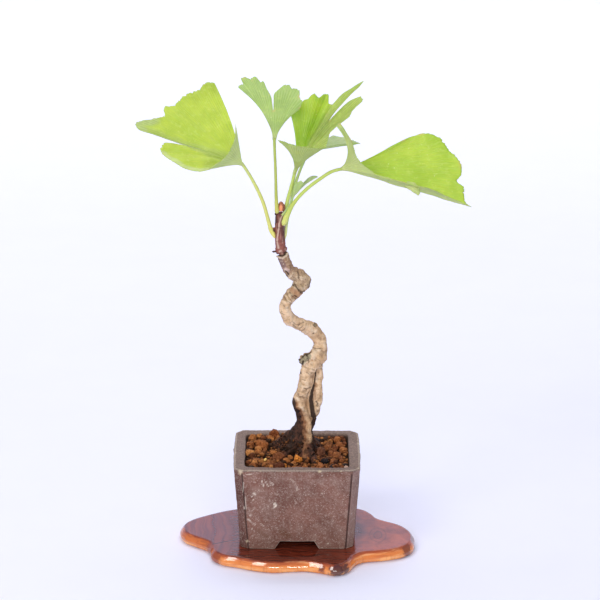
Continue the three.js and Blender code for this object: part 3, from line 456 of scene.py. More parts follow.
def ball(level):
    """Directions and triangles of a ball made from an icosahedron."""
    g = (1 + 5**0.5) / 2
    points = [(-1, g, 0), (1, g, 0), (-1, -g, 0), (1, -g, 0), (0, -1, g), (0, 1, g),
              (0, -1, -g), (0, 1, -g), (g, 0, -1), (g, 0, 1), (-g, 0, -1), (-g, 0, 1)]
    faces = [(0, 11, 5), (0, 5, 1), (0, 1, 7), (0, 7, 10), (0, 10, 11), (1, 5, 9), (5, 11, 4),
             (11, 10, 2), (10, 7, 6), (7, 1, 8), (3, 9, 4), (3, 4, 2), (3, 2, 6), (3, 6, 8),
             (3, 8, 9), (4, 9, 5), (2, 4, 11), (6, 2, 10), (8, 6, 7), (9, 8, 1)]
    points = [np.array(p, float) / np.linalg.norm(p) for p in points]
    for _ in range(level):
        middles, finer = {}, []

        def middle(a, b):
            key = (min(a, b), max(a, b))
            if key not in middles:
                point = points[a] + points[b]
                middles[key] = len(points)
                points.append(point / np.linalg.norm(point))
            return middles[key]

        for a, b, c in faces:
            ab, bc, ca = middle(a, b), middle(b, c), middle(c, a)
            finer += [(a, ab, ca), (b, bc, ab), (c, ca, bc), (ab, bc, ca)]
        faces = finer
    return np.array(points), np.array(faces)


BALLS = [ball(level) for level in range(4)]


def lump(centre, radii, level=3):
    """Points and triangles of an ellipsoid."""
    directions, faces = BALLS[level]
    return directions * np.asarray(radii, float) + np.asarray(centre, float), faces


def read(items, key, kind, width=1):
    """One value of every vertex, loop or polygon of a mesh."""
    found = np.empty(len(items) * width, kind)
    items.foreach_get(key, found)
    return found


def skin(name, parts, voxel, smoothing):
    """One closed skin of small quads round overlapping closed shapes."""
    gathered = Shape()
    for points, faces in parts:
        gathered.add(points, faces)
    mesh = mesh_from(name, gathered.all_points(), gathered.faces, scale=1.0)
    rough = bpy.data.objects.new(name, mesh)
    bpy.context.scene.collection.objects.link(rough)
    remesh = rough.modifiers.new("skin", "REMESH")
    remesh.mode = "VOXEL"
    remesh.voxel_size = voxel
    soft = rough.modifiers.new("soft", "SMOOTH")
    soft.factor = 0.5
    soft.iterations = smoothing
    evaluated = rough.evaluated_get(bpy.context.evaluated_depsgraph_get())
    result = evaluated.to_mesh()
    points = read(result.vertices, "co", np.float32, 3)
    loops = read(result.loops, "vertex_index", np.int32)
    sizes = read(result.polygons, "loop_total", np.int32)
    starts = read(result.polygons, "loop_start", np.int32)
    faces = [loops[starts[sizes == n][:, None] + np.arange(n)] for n in (3, 4)]
    evaluated.to_mesh_clear()
    bpy.data.objects.remove(rough)
    bpy.data.meshes.remove(mesh)
    return points.reshape(-1, 3).astype(float), faces


# ---------------------------------------------------------------------------------------
# Material nodes
# ---------------------------------------------------------------------------------------
class Finish:
    """A node material. Each method adds one node and gives back its output socket."""

    def __init__(self, name):
        self.material = bpy.data.materials.new(name)
        self.material.use_nodes = True
        self.tree = self.material.node_tree
        self.tree.nodes.clear()
        self.output = self.tree.nodes.new("ShaderNodeOutputMaterial")
        place = self.node("ShaderNodeTexCoord").outputs["Object"]
        self.place = self.vector("SCALE", place, scale=1 / MM)

    def node(self, kind, **settings):
        made = self.tree.nodes.new(kind)
        for key, value in settings.items():
            setattr(made, key, value)
        return made

    def set(self, socket, value):
        if isinstance(value, bpy.types.NodeSocket):
            self.tree.links.new(value, socket)
        elif isinstance(value, (tuple, list)) and len(value) == 3 and socket.type == "RGBA":
            socket.default_value = (*value, 1)
        else:
            socket.default_value = value

    def math(self, operation, a, b=0.0):
        made = self.node("ShaderNodeMath", operation=operation)
        for socket, value in zip(made.inputs, (a, b, 0.0)):
            self.set(socket, value)
        return made.outputs[0]

    def tinted(self, colour, by):
        """A colour multiplied by another."""
        return self.mix(1.0, colour, by, "MULTIPLY")

    def add(self, a, b):
        return self.math("ADD", a, b)

    def sub(self, a, b):
        return self.math("SUBTRACT", a, b)

    def mul(self, a, b):
        return self.math("MULTIPLY", a, b)

    def vector(self, operation, a, b=(0, 0, 0), scale=1.0):
        made = self.node("ShaderNodeVectorMath", operation=operation)
        self.set(made.inputs[0], a)
        if operation == "SCALE":
            self.set(made.inputs["Scale"], scale)
        else:
            self.set(made.inputs[1], b)
        return made.outputs["Value" if operation in ("LENGTH", "DOT_PRODUCT") else "Vector"]

    def scaled(self, a, b):
        return self.vector("MULTIPLY", a, b)

    def between(self, low, high, value):
        """0 where the value is low, 1 where it is high, smooth between."""
        made = self.node("ShaderNodeMapRange", interpolation_type="SMOOTHSTEP")
        self.set(made.inputs["Value"], value)
        made.inputs["From Min"].default_value = low
        made.inputs["From Max"].default_value = high
        return made.outputs["Result"]

    def mix(self, share, a, b, blend="MIX"):
        made = self.node("ShaderNodeMix", data_type="RGBA", blend_type=blend)
        self.set(made.inputs[0], share)
        self.set(made.inputs[6], a)
        self.set(made.inputs[7], b)
        return made.outputs[2]

    def coats(self, colour, *rows):
        """Colours laid over one another. A row is a share or (value, low, high), then
        optionally a strength that the share is multiplied by, then the colour."""
        for share, *more, coat in rows:
            if len(more) > 1:
                share = self.between(more[0], more[1], share)
            if len(more) % 2:
                share = self.mul(share, more[-1])
            colour = self.mix(share, colour, coat)
        return colour

    def value(self, name):
        return self.node("ShaderNodeAttribute", attribute_name=name).outputs["Fac"]

    def tint(self, name):
        return self.node("ShaderNodeAttribute", attribute_name=name).outputs["Color"]

    def combine(self, x, y, z):
        made = self.node("ShaderNodeCombineXYZ")
        for socket, value in zip(made.inputs, (x, y, z)):
            self.set(socket, value)
        return made.outputs[0]

    def apart(self, vector):
        made = self.node("ShaderNodeSeparateXYZ")
        self.set(made.inputs[0], vector)
        return made.outputs

    def noise(self, size, detail=2.0, roughness=0.5, distortion=0.0, where=None, stretch=None):
        where = where or self.place
        if stretch:
            where = self.scaled(where, stretch)
        made = self.node("ShaderNodeTexNoise")
        self.set(made.inputs["Vector"], where)
        made.inputs["Scale"].default_value = 1 / size
        made.inputs["Detail"].default_value = detail
        made.inputs["Roughness"].default_value = roughness
        made.inputs["Distortion"].default_value = distortion
        return made.outputs["Fac"]

    def colour_noise(self, size, where):
        made = self.node("ShaderNodeTexNoise")
        self.set(made.inputs["Vector"], where)
        made.inputs["Scale"].default_value = 1 / size
        return made.outputs["Color"]

    def cells(self, size):
        """Distance from the middle of the nearest cell."""
        made = self.node("ShaderNodeTexVoronoi")
        self.set(made.inputs["Vector"], self.place)
        made.inputs["Scale"].default_value = 1 / size
        return made.outputs["Distance"]

    def bump(self, height, depth, strength=1.0):
        """A bump whose height of 1 stands for depth millimetres."""
        made = self.node("ShaderNodeBump")
        made.inputs["Strength"].default_value = strength
        made.inputs["Distance"].default_value = depth * MM
        self.set(made.inputs["Height"], height)
        return made.outputs["Normal"]

    def surface(self, colour, roughness=0.6, normal=None, **more):
        shader = self.node("ShaderNodeBsdfPrincipled")
        self.set(shader.inputs["Base Color"], colour)
        self.set(shader.inputs["Roughness"], roughness)
        if normal is not None:
            self.set(shader.inputs["Normal"], normal)
        for key, value in more.items():
            self.set(shader.inputs[key.replace("_", " ")], value)
        self.tree.links.new(shader.outputs["BSDF"], self.output.inputs["Surface"])
        return self.material


# ---------------------------------------------------------------------------------------
# Leaves
# ---------------------------------------------------------------------------------------
COLUMN_STEP = 0.009        # radians of fan between two drawn veins
LEAF_ROWS = 46
LEAF_THICKNESS = 0.34
LEAF_INNER = 0.8           # where the drawn blade begins, inside the swollen joint


def eased(keys, values, x):
    """A smooth curve through values that never swings past them."""
    gap = np.diff(keys)
    slope = np.diff(values) / gap
    tangent = np.zeros(len(keys))
    for k in range(1, len(keys) - 1):
        if slope[k - 1] * slope[k] > 0:
            a, b = 2 * gap[k] + gap[k - 1], gap[k] + 2 * gap[k - 1]
            tangent[k] = (a + b) / (a / slope[k - 1] + b / slope[k])
    tangent[0], tangent[-1] = slope[0], slope[-1]
    i = np.searchsorted(keys[1:-1], x, side="left")
    t = np.clip((x - keys[i]) / gap[i], 0, 1)
    return (
        (2 * t**3 - 3 * t**2 + 1) * values[i] + (t**3 - 2 * t**2 + t) * gap[i] * tangent[i]
        + (3 * t**2 - 2 * t**3) * values[i + 1] + (t**3 - t**2) * gap[i] * tangent[i + 1]
    )


def fan(leaf):
    """The blade's middle surface: fan angle, reach, direction and bend of each column."""
    tips = np.array(leaf["tips"], float)
    reach = np.linalg.norm(tips, axis=1)
    curl = np.array(leaf["curl"], float)
    bend = np.stack([np.interp(np.arange(len(tips)), curl[:, 0], curl[:, k]) / 100 for k in (1, 2, 3)], -1)
    heads = (tips - bend * reach[:, None] ** 2) / reach[:, None]
    ways = tips / reach[:, None]
    turns = np.arccos(np.clip(np.sum(ways[1:] * ways[:-1], axis=1), -1, 1))
    angles = np.concatenate([[0], np.cumsum(np.maximum(turns, 0.012))])
    drawn = []
    for i in range(len(tips) - 1):
        width = angles[i + 1] - angles[i]
        long_side = abs(reach[i + 1] - reach[i])
        steps = max(2, math.ceil(width / COLUMN_STEP), math.ceil(long_side / 1.3))
        drawn.extend(angles[i] + width * np.arange(steps) / steps)
    drawn = np.array(drawn + [angles[-1]])
    out = eased(angles, reach, drawn)
    head = smooth(angles, heads, drawn)
    softness = leaf.get("soften", 0.012)
    share = np.exp(-(((drawn[:, None] - drawn[None, :]) / softness) ** 2))
    share *= np.gradient(drawn)[None, :]
    head = share @ head / share.sum(axis=1, keepdims=True)
    curve = np.stack([np.interp(drawn, angles, bend[:, k]) for k in range(3)], -1)
    return angles, drawn, out, head, curve


def toothed(leaf, drawn, out, head, curve, seed):
    """The reach of each column with the scallops and small uneven teeth of the margin."""
    margin = head * out[:, None] + curve * out[:, None] ** 2
    run = line_lengths(margin)
    flat_run = np.concatenate([[0], np.cumsum(0.5 * (out[1:] + out[:-1]) * np.diff(drawn))])
    steep = np.abs(np.gradient(out, flat_run + np.arange(len(run)) * 1e-6))
    line = np.stack([run, np.full_like(run, 3.7), np.zeros_like(run)], -1)
    wander = 1.6 * noise(line, 4.0, seed)
    big = np.abs(np.sin((run / 5.2 + wander) * math.pi)) ** 0.55
    small = np.abs(np.sin((run / 1.9 + 1.4 * wander + 0.3 * noise(line, 1.5, seed + 1)) * math.pi)) ** 0.6
    depth = 0.55 + 0.45 * noise(line, 6.0, seed + 2)
    teeth = (1.25 * depth * (big - 0.75) + 0.62 * (small - 0.7)) * leaf.get("teeth", 1.0)
    ends = ramp(0, 1.2, run) * ramp(0, 1.2, run[-1] - run)
    size = min(1.0, float(np.median(out)) / 32)
    return out + (teeth - 0.1) * np.exp(-0.40 * steep**2) * ends * size


def near_margin(points, angles, drawn, edge, first, last):
    """Distance of points from the part of the margin between two of the leaf's tips."""
    part = edge[(drawn >= angles[first] - 1e-6) & (drawn <= angles[last] + 1e-6)]
    gap = np.full(points.shape[:-1], np.inf)
    for a, b in zip(part[:-1], part[1:]):
        way = b - a
        t = np.clip((points - a) @ way / max(way @ way, 1e-9), 0, 1)
        gap = np.minimum(gap, np.linalg.norm(points - a - t[..., None] * way, axis=-1))
    return gap


def sheet(middle, half):
    """Points and faces of a thin closed sheet on both sides of a grid of points."""
    across = np.gradient(middle, axis=0)
    outward = np.gradient(middle, axis=1)
    normal = unit(np.cross(across, outward))
    columns, rows = middle.shape[:2]
    flat = grid_faces(columns, rows)
    upper, lower = middle + normal * half, middle - normal * half
    points = np.concatenate([upper.reshape(-1, 3), lower.reshape(-1, 3)])
    return points, [flat[:, ::-1], flat + columns * rows, rim_walls(columns, rows)]


def build_leaf(name, leaf, seed, finishes):
    angles, drawn, out, head, curve = fan(leaf)
    junction = np.array(leaf["junction"], float)
    reach = toothed(leaf, drawn, out, head, curve, seed)
    share = np.linspace(0, 1, LEAF_ROWS + 1) ** 0.9
    radius = LEAF_INNER + (reach[:, None] - LEAF_INNER) * share[None, :]
    middle = (
        junction
        + head[:, None, :] * radius[..., None]
        + curve[:, None, :] * radius[..., None] ** 2
    )
    normal = unit(np.cross(np.gradient(middle, axis=0), np.gradient(middle, axis=1)))
    field = np.stack([drawn[:, None] * 16 + 0 * radius, radius * 0.5, 0 * radius + seed], -1)
    growth = ramp(2, 22, radius)
    ripple = 0.42 * growth * noise(field, 5.0, seed + 5) + 0.15 * growth * noise(field, 1.7, seed + 6)
    pleats = 0.035 * ramp(3, 9, radius) * np.cos(drawn[:, None] * TAU / 0.052)
    middle = middle + normal * (ripple + pleats)[..., None]
    size = min(1.0, float(np.median(out)) / 30)
    swell = 1.45 * size * np.exp(-((radius - LEAF_INNER) / (2.2 * size)) ** 1.5)
    thin = 1 - 0.4 * ramp(0.9, 0.0, reach[:, None] - radius)
    points, faces = sheet(middle, 0.5 * (LEAF_THICKNESS * thin + swell)[..., None])
    columns, rows = radius.shape
    edge_gap = near_margin(middle, angles, drawn, middle[:, -1], 0, len(angles) - 1)
    # where the blade rolls over or doubles up, its upper face is as grey as the under face
    keys = np.array(leaf.get("dull", [[0, 0.0]]), float)
    dull = np.interp(drawn, np.interp(keys[:, 0], np.arange(len(angles)), angles), keys[:, 1])
    dull = dull[:, None] + 0 * radius
    shade = 0 * radius
    for first, last, width, strength, shadow in leaf.get("bands", ()):
        gap = near_margin(middle, angles, drawn, middle[:, -1], first, last)
        gap = gap + 0.7 * noise(middle, 4.0, seed + 9)
        dull = np.maximum(dull, strength * ramp(width * 1.25, width * 0.75, gap))
        shade = np.maximum(shade, shadow * ramp(width * 1.35, width * 0.55, gap))
    shape = Shape()
    shape.add(
        points, faces, 0,
        fan_angle=np.tile(np.repeat(drawn, rows), 2),
        reach=np.tile(radius.ravel(), 2),
        under=np.repeat([0.0, 1.0], columns * rows),
        margin=np.tile(np.clip(1 - edge_gap / 2.0, 0, 1).ravel(), 2),
        whole=np.tile((radius / reach[:, None]).ravel(), 2),
        dull=np.tile(dull.ravel(), 2), shade=np.tile(shade.ravel(), 2),
    )
    for path, widths, roll in leaf.get("flaps", ()):
        add_flap(shape, path, widths, roll, seed)
    stations = np.array(leaf["stalk"], float)
    stalk, faces, along, turned = tube(
        stations, 22, 12,
        squeeze=lambda length, angle: 1 - 0.10 * np.exp(-((np.sin(angle / 2 - 0.6) / 0.25) ** 2))
        + 0.02 * np.sin(length * 1.3),
    )
    shape.add(stalk, faces, 1, along=along / along.max(), turned=turned, length=along)
    joint, faces = lump(junction, [1.1 * size] * 3, 2)
    shape.add(joint, faces, 1, along=np.ones(len(joint)), turned=np.zeros(len(joint)))
    return piece(name + "_living", shape, name, finishes)


def add_flap(shape, path, widths, roll, seed):
    """A small lobe of the blade folded over its margin: a curled sheet along a path."""
    path = np.array(path, float)
    u = np.linspace(0, len(path) - 1, 26)
    line = smooth(np.arange(len(path)), path, u)
    wide = np.interp(u, np.arange(len(path)), widths)
    side, away = np.array(roll[0], float), np.array(roll[1], float)
    t = np.linspace(-1, 1, 19)
    crinkle = 0.16 * noise(np.stack([u * 3, u * 0, u * 0 + seed], -1), 1.0, seed)
    middle = (
        line[:, None, :]
        + side * (wide[:, None] * t[None, :] + crinkle[:, None])[..., None]
        + away * (wide[:, None] * 0.45 * (1 - t[None, :] ** 2))[..., None]
    )
    points, faces = sheet(middle, 0.14)
    tip = np.repeat(u / u.max(), len(t))
    shape.add(
        points, faces, 0, fan_angle=np.tile(np.tile(t * 0.05, len(u)), 2) + 1.0,
        reach=np.tile(30 + tip * 9, 2), under=np.ones(len(points)), dull=np.ones(len(points)),
        shade=np.zeros(len(points)),
        margin=np.tile(np.clip((tip - 0.55) / 0.45, 0, 1) * 0.8, 2), whole=np.full(len(points), 0.7),
    )


def leaf_finish(name, upper, upper_dark, under, under_dark, seed, blush=0.0):
    """Fan blade: bright upper face, matt pale under face, forking veins, a fine dark edge."""
    f = Finish(name)
    angle, reach = f.value("fan_angle"), f.value("reach")
    margin, whole = f.value("margin"), f.value("whole")
    is_under = f.math("MAXIMUM", f.value("under"), f.value("dull"))
    # the veins fork: their number doubles each time the distance from the stalk doubles
    sway = f.noise(5.0, 1.0)
    warped = f.mul(reach, f.add(0.78, f.mul(sway, 0.44)))
    octave = f.math("LOGARITHM", f.math("DIVIDE", f.math("MAXIMUM", warped, 1.0), 3.0), 2.0)
    whole_octave = f.math("FLOOR", octave)
    progress = f.sub(octave, whole_octave)
    cell = f.mul(f.math("POWER", 2.0, f.mul(whole_octave, -1.0)), 0.4)
    within = f.sub(f.math("FRACT", f.math("DIVIDE", angle, cell)), 0.5)
    apart = f.mul(f.between(0.0, 0.5, progress), 0.25)
    off = f.math("ABSOLUTE", f.sub(f.math("ABSOLUTE", within), apart))
    distance = f.mul(f.mul(off, cell), reach)
    vein = f.between(0.34, 0.05, distance)
    broad = f.noise(11.0, 2.0)
    mottle = f.noise(2.2, 3.0, 0.6)
    streak = f.noise(1.0, 2.0, 0.6, where=f.combine(
        f.mul(angle, 42.0), f.mul(reach, 0.12), seed))
    share = f.between(0.37, 0.63, f.add(f.mul(broad, 0.5), f.mul(streak, 0.5)))
    top = f.mix(share, upper, upper_dark)
    low = f.mix(share, under, under_dark)
    colour = f.mix(is_under, top, low)
    colour = f.mix(f.value("shade"), colour, f.tinted(colour, (0.68, 0.70, 0.62)))
    between_veins = f.mul(f.between(0.45, 0.75, streak), 0.30)
    pale_base = f.between(0.24, 0.02, whole)
    specks = f.between(0.12, 0.03, f.cells(3.0))
    sparse = f.between(0.56, 0.62, f.noise(6.0, 0.0))
    outline = f.mul(f.between(0.72, 0.97, margin), f.between(0.36, 0.56, f.noise(3.0, 2.0)))
    dry = f.mul(f.between(0.2, 0.75, margin), f.between(0.56, 0.66, f.noise(5.0, 1.0)))
    cells = f.cells(0.34)
    height = f.add(f.mul(vein, 0.9), f.mul(cells, 0.25))
    height = f.add(height, f.mul(mottle, 0.5))
    normal = f.bump(height, 0.12, 0.65)
    rough = f.add(0.42, f.mul(f.add(mottle, f.mul(is_under, 0.5)), 0.16))
    colour = f.coats(
        colour,
        (vein, 0.36, f.mix(is_under, (0.4, 0.58, 0.06), (0.6, 0.7, 0.34))),
        (between_veins, f.mix(is_under, (0.66, 0.78, 0.2), (0.5, 0.62, 0.26))),
        (mottle, 0.52, 0.72, 0.26, (0.66, 0.74, 0.22)),
        (pale_base, 0.5, (0.6, 0.68, 0.24)),
        (f.mul(specks, sparse), 0.65, (0.84, 0.88, 0.55)),
        (outline, 0.55, (0.26, 0.38, 0.07)),
        (dry, blush, (0.62, 0.44, 0.17)),
    )
    return f.surface(
        colour, rough, normal,
        Specular_IOR_Level=0.35, Subsurface_Weight=0.25, Subsurface_Radius=(0.6, 1.0, 0.25),
        Subsurface_Scale=0.0012,
    )


def stalk_finish(name, base, middle, top):
    """Leaf stalk: pale and yellow at its foot, greener upwards, with fine lengthwise streaks."""
    f = Finish(name)
    along, turned, length = f.value("along"), f.value("turned"), f.value("length")
    streak = f.noise(0.16, 3.0, 0.6, where=f.combine(
        f.math("COSINE", turned), f.math("SINE", turned), f.mul(length, 0.08)))
    spots = f.between(0.58, 0.70, f.noise(1.5, 2.0))
    normal = f.bump(streak, 0.12, 0.6)
    colour = f.coats(
        f.mix(f.between(0.02, 0.26, along), base, middle),
        (along, 0.4, 1.0, top),
        (streak, 0.45, 0.75, 0.45, (0.34, 0.48, 0.09)),
        (streak, 0.48, 0.25, 0.4, (0.84, 0.86, 0.42)),
        (spots, 0.25, (0.56, 0.46, 0.18)),
    )
    return f.surface(
        colour, f.add(0.34, f.mul(streak, 0.2)), normal,
        Subsurface_Weight=0.2, Subsurface_Radius=(0.8, 1.0, 0.3), Subsurface_Scale=0.0012,
    )


# Colours and such of each leaf: upper face, upper dark, under face, under dark, slot, seed, dry margin
LEAF_LOOKS = {
    "leaf_left": (
        (0.52, 0.615, 0.075), (0.375, 0.485, 0.045), (0.58, 0.66, 0.28), (0.46, 0.55, 0.18), "leaf", 11,
        0.15,
    ),
    "leaf_upright": (
        (0.4, 0.52, 0.088), (0.295, 0.435, 0.056), (0.37, 0.5, 0.13), (0.28, 0.41, 0.095), "leaf", 23, 0.45
    ),
    "leaf_funnel": (
        (0.46, 0.6, 0.043), (0.27, 0.45, 0.025), (0.38, 0.455, 0.09), (0.29, 0.37, 0.06), "leaf", 37, 0.15
    ),
    "leaf_right": (
        (0.49, 0.615, 0.07), (0.355, 0.505, 0.04), (0.46, 0.52, 0.165), (0.34, 0.42, 0.11), "leaf", 41, 0.4
    ),
    "leaf_back": (
        (0.42, 0.53, 0.18), (0.31, 0.44, 0.12), (0.42, 0.51, 0.22), (0.31, 0.42, 0.15), "young_leaf", 53,
        0.2,
    ),
    "leaf_young": (
        (0.42, 0.5, 0.26), (0.3, 0.4, 0.17), (0.4, 0.47, 0.28), (0.3, 0.38, 0.2), "young_leaf", 67, 0.1
    ),
}
STALK_LOOKS = {
    "leaf_left": ((0.71, 0.66, 0.165), (0.63, 0.63, 0.17), (0.54, 0.62, 0.19)),
    "leaf_upright": ((0.56, 0.54, 0.125), (0.40, 0.45, 0.078), (0.38, 0.48, 0.085)),
    "leaf_funnel": ((0.68, 0.71, 0.20), (0.50, 0.61, 0.14), (0.46, 0.57, 0.12)),
    "leaf_right": ((0.63, 0.65, 0.165), (0.47, 0.56, 0.10), (0.42, 0.52, 0.095)),
    "leaf_back": ((0.74, 0.76, 0.32), (0.50, 0.64, 0.22), (0.40, 0.54, 0.20)),
    "leaf_young": ((0.50, 0.58, 0.24), (0.36, 0.50, 0.20), (0.34, 0.48, 0.19)),
}
LEAVES["leaf_left"].update(
    bands=[
        (13, 16, 4.6, 0.3, 0.9), (14, 16, 4.0, 0.9, 0.2), (5, 10, 2.2, 0.9, 0.1), (2, 5, 7.0, 0.1, 0.8),
        (22, 25, 7.5, 0.0, 0.4),
    ],
    teeth=1.1,
)
LEAVES["leaf_upright"].update(teeth=1.35)
LEAVES["leaf_funnel"].update(
    dull=[[0, 0.0], [8, 0.0], [10.5, 0.8], [23, 0.9], [31, 0.9]], soften=0.055,
    bands=[(26, 31, 0.9, 1.0, 0.0)],
)
LEAVES["leaf_right"].update(
    bands=[(16, 22, 3.2, 0.85, 0.1), (17, 19, 4.6, 0.3, 0.6), (0, 2, 5.0, 0.0, 0.3)], teeth=1.15,
    flaps=[([[58.5, -15.6, 209.6], [61.5, -16.3, 208.6], [64.0, -16.4, 206.6], [65.8, -16.2, 204.0]],
            [1.5, 2.3, 2.2, 0.9], [[0.55, 0.1, 0.83], [-0.2, -0.95, 0.1]])],
)
for name, (upper, upper_dark, under, under_dark, slot, seed, dry) in LEAF_LOOKS.items():
    LEAVES[name]["slot"] = slot
    blade_look = leaf_finish(name + "_blade", upper, upper_dark, under, under_dark, seed, dry)
    stalk_look = stalk_finish(name + "_stalk", *STALK_LOOKS[name])
    build_leaf(name, LEAVES[name], seed, [blade_look, stalk_look])

# ---------------------------------------------------------------------------------------
# Old wood, this year's shoot and the bud
# ---------------------------------------------------------------------------------------
TRUNK_VOXEL = 0.305
SHOOT_VOXEL = 0.2
LEAN = 0.2924              # rise of the front elevation for each millimetre of depth


def limb_coordinates(points, limbs):
    """For each point: distance along the nearest limb, direction round it, and which limb."""
    samples, lengths, owners = [], [], []
    for number, stations in enumerate(limbs):
        stations = np.asarray(stations, float)
        u = np.linspace(0, len(stations) - 1, len(stations) * 14)
        line = smooth(np.arange(len(stations)), stations, u)
        samples.append(line)
        lengths.append(line_lengths(line[:, :3]))
        owners.append(np.full(len(line), number))
    line = np.concatenate(samples)
    length, owner = np.concatenate(lengths), np.concatenate(owners)
    nearest = np.empty(len(points), int)
    for start in range(0, len(points), 4000):
        chunk = points[start:start + 4000]
        gap = np.linalg.norm(chunk[:, None, :] - line[None, :, :3], axis=2) - line[None, :, 3]
        nearest[start:start + 4000] = np.argmin(gap, axis=1)
    away = unit(points - line[nearest, :3])
    return length[nearest], away, owner[nearest]


def near_line(points, start, end):
    """Distance of points from a straight line between two points."""
    start, end = np.array(start, float), np.array(end, float)
    way = end - start
    t = np.clip((points - start) @ way / (way @ way), 0, 1)
    return np.linalg.norm(points - start - t[:, None] * way, axis=1)


def near_path(points, path):
    """Distance of points from a path, which may be a single place."""
    if len(path) == 1:
        return np.linalg.norm(points - np.array(path[0], float), axis=1)
    return np.min([near_line(points, a, b) for a, b in zip(path[:-1], path[1:])], axis=0)


def elevation(points):
    """Places on the front elevation: across, and up with the rise for depth."""
    return np.stack([points[:, 0], points[:, 2] + LEAN * (points[:, 1] + 3)], -1)


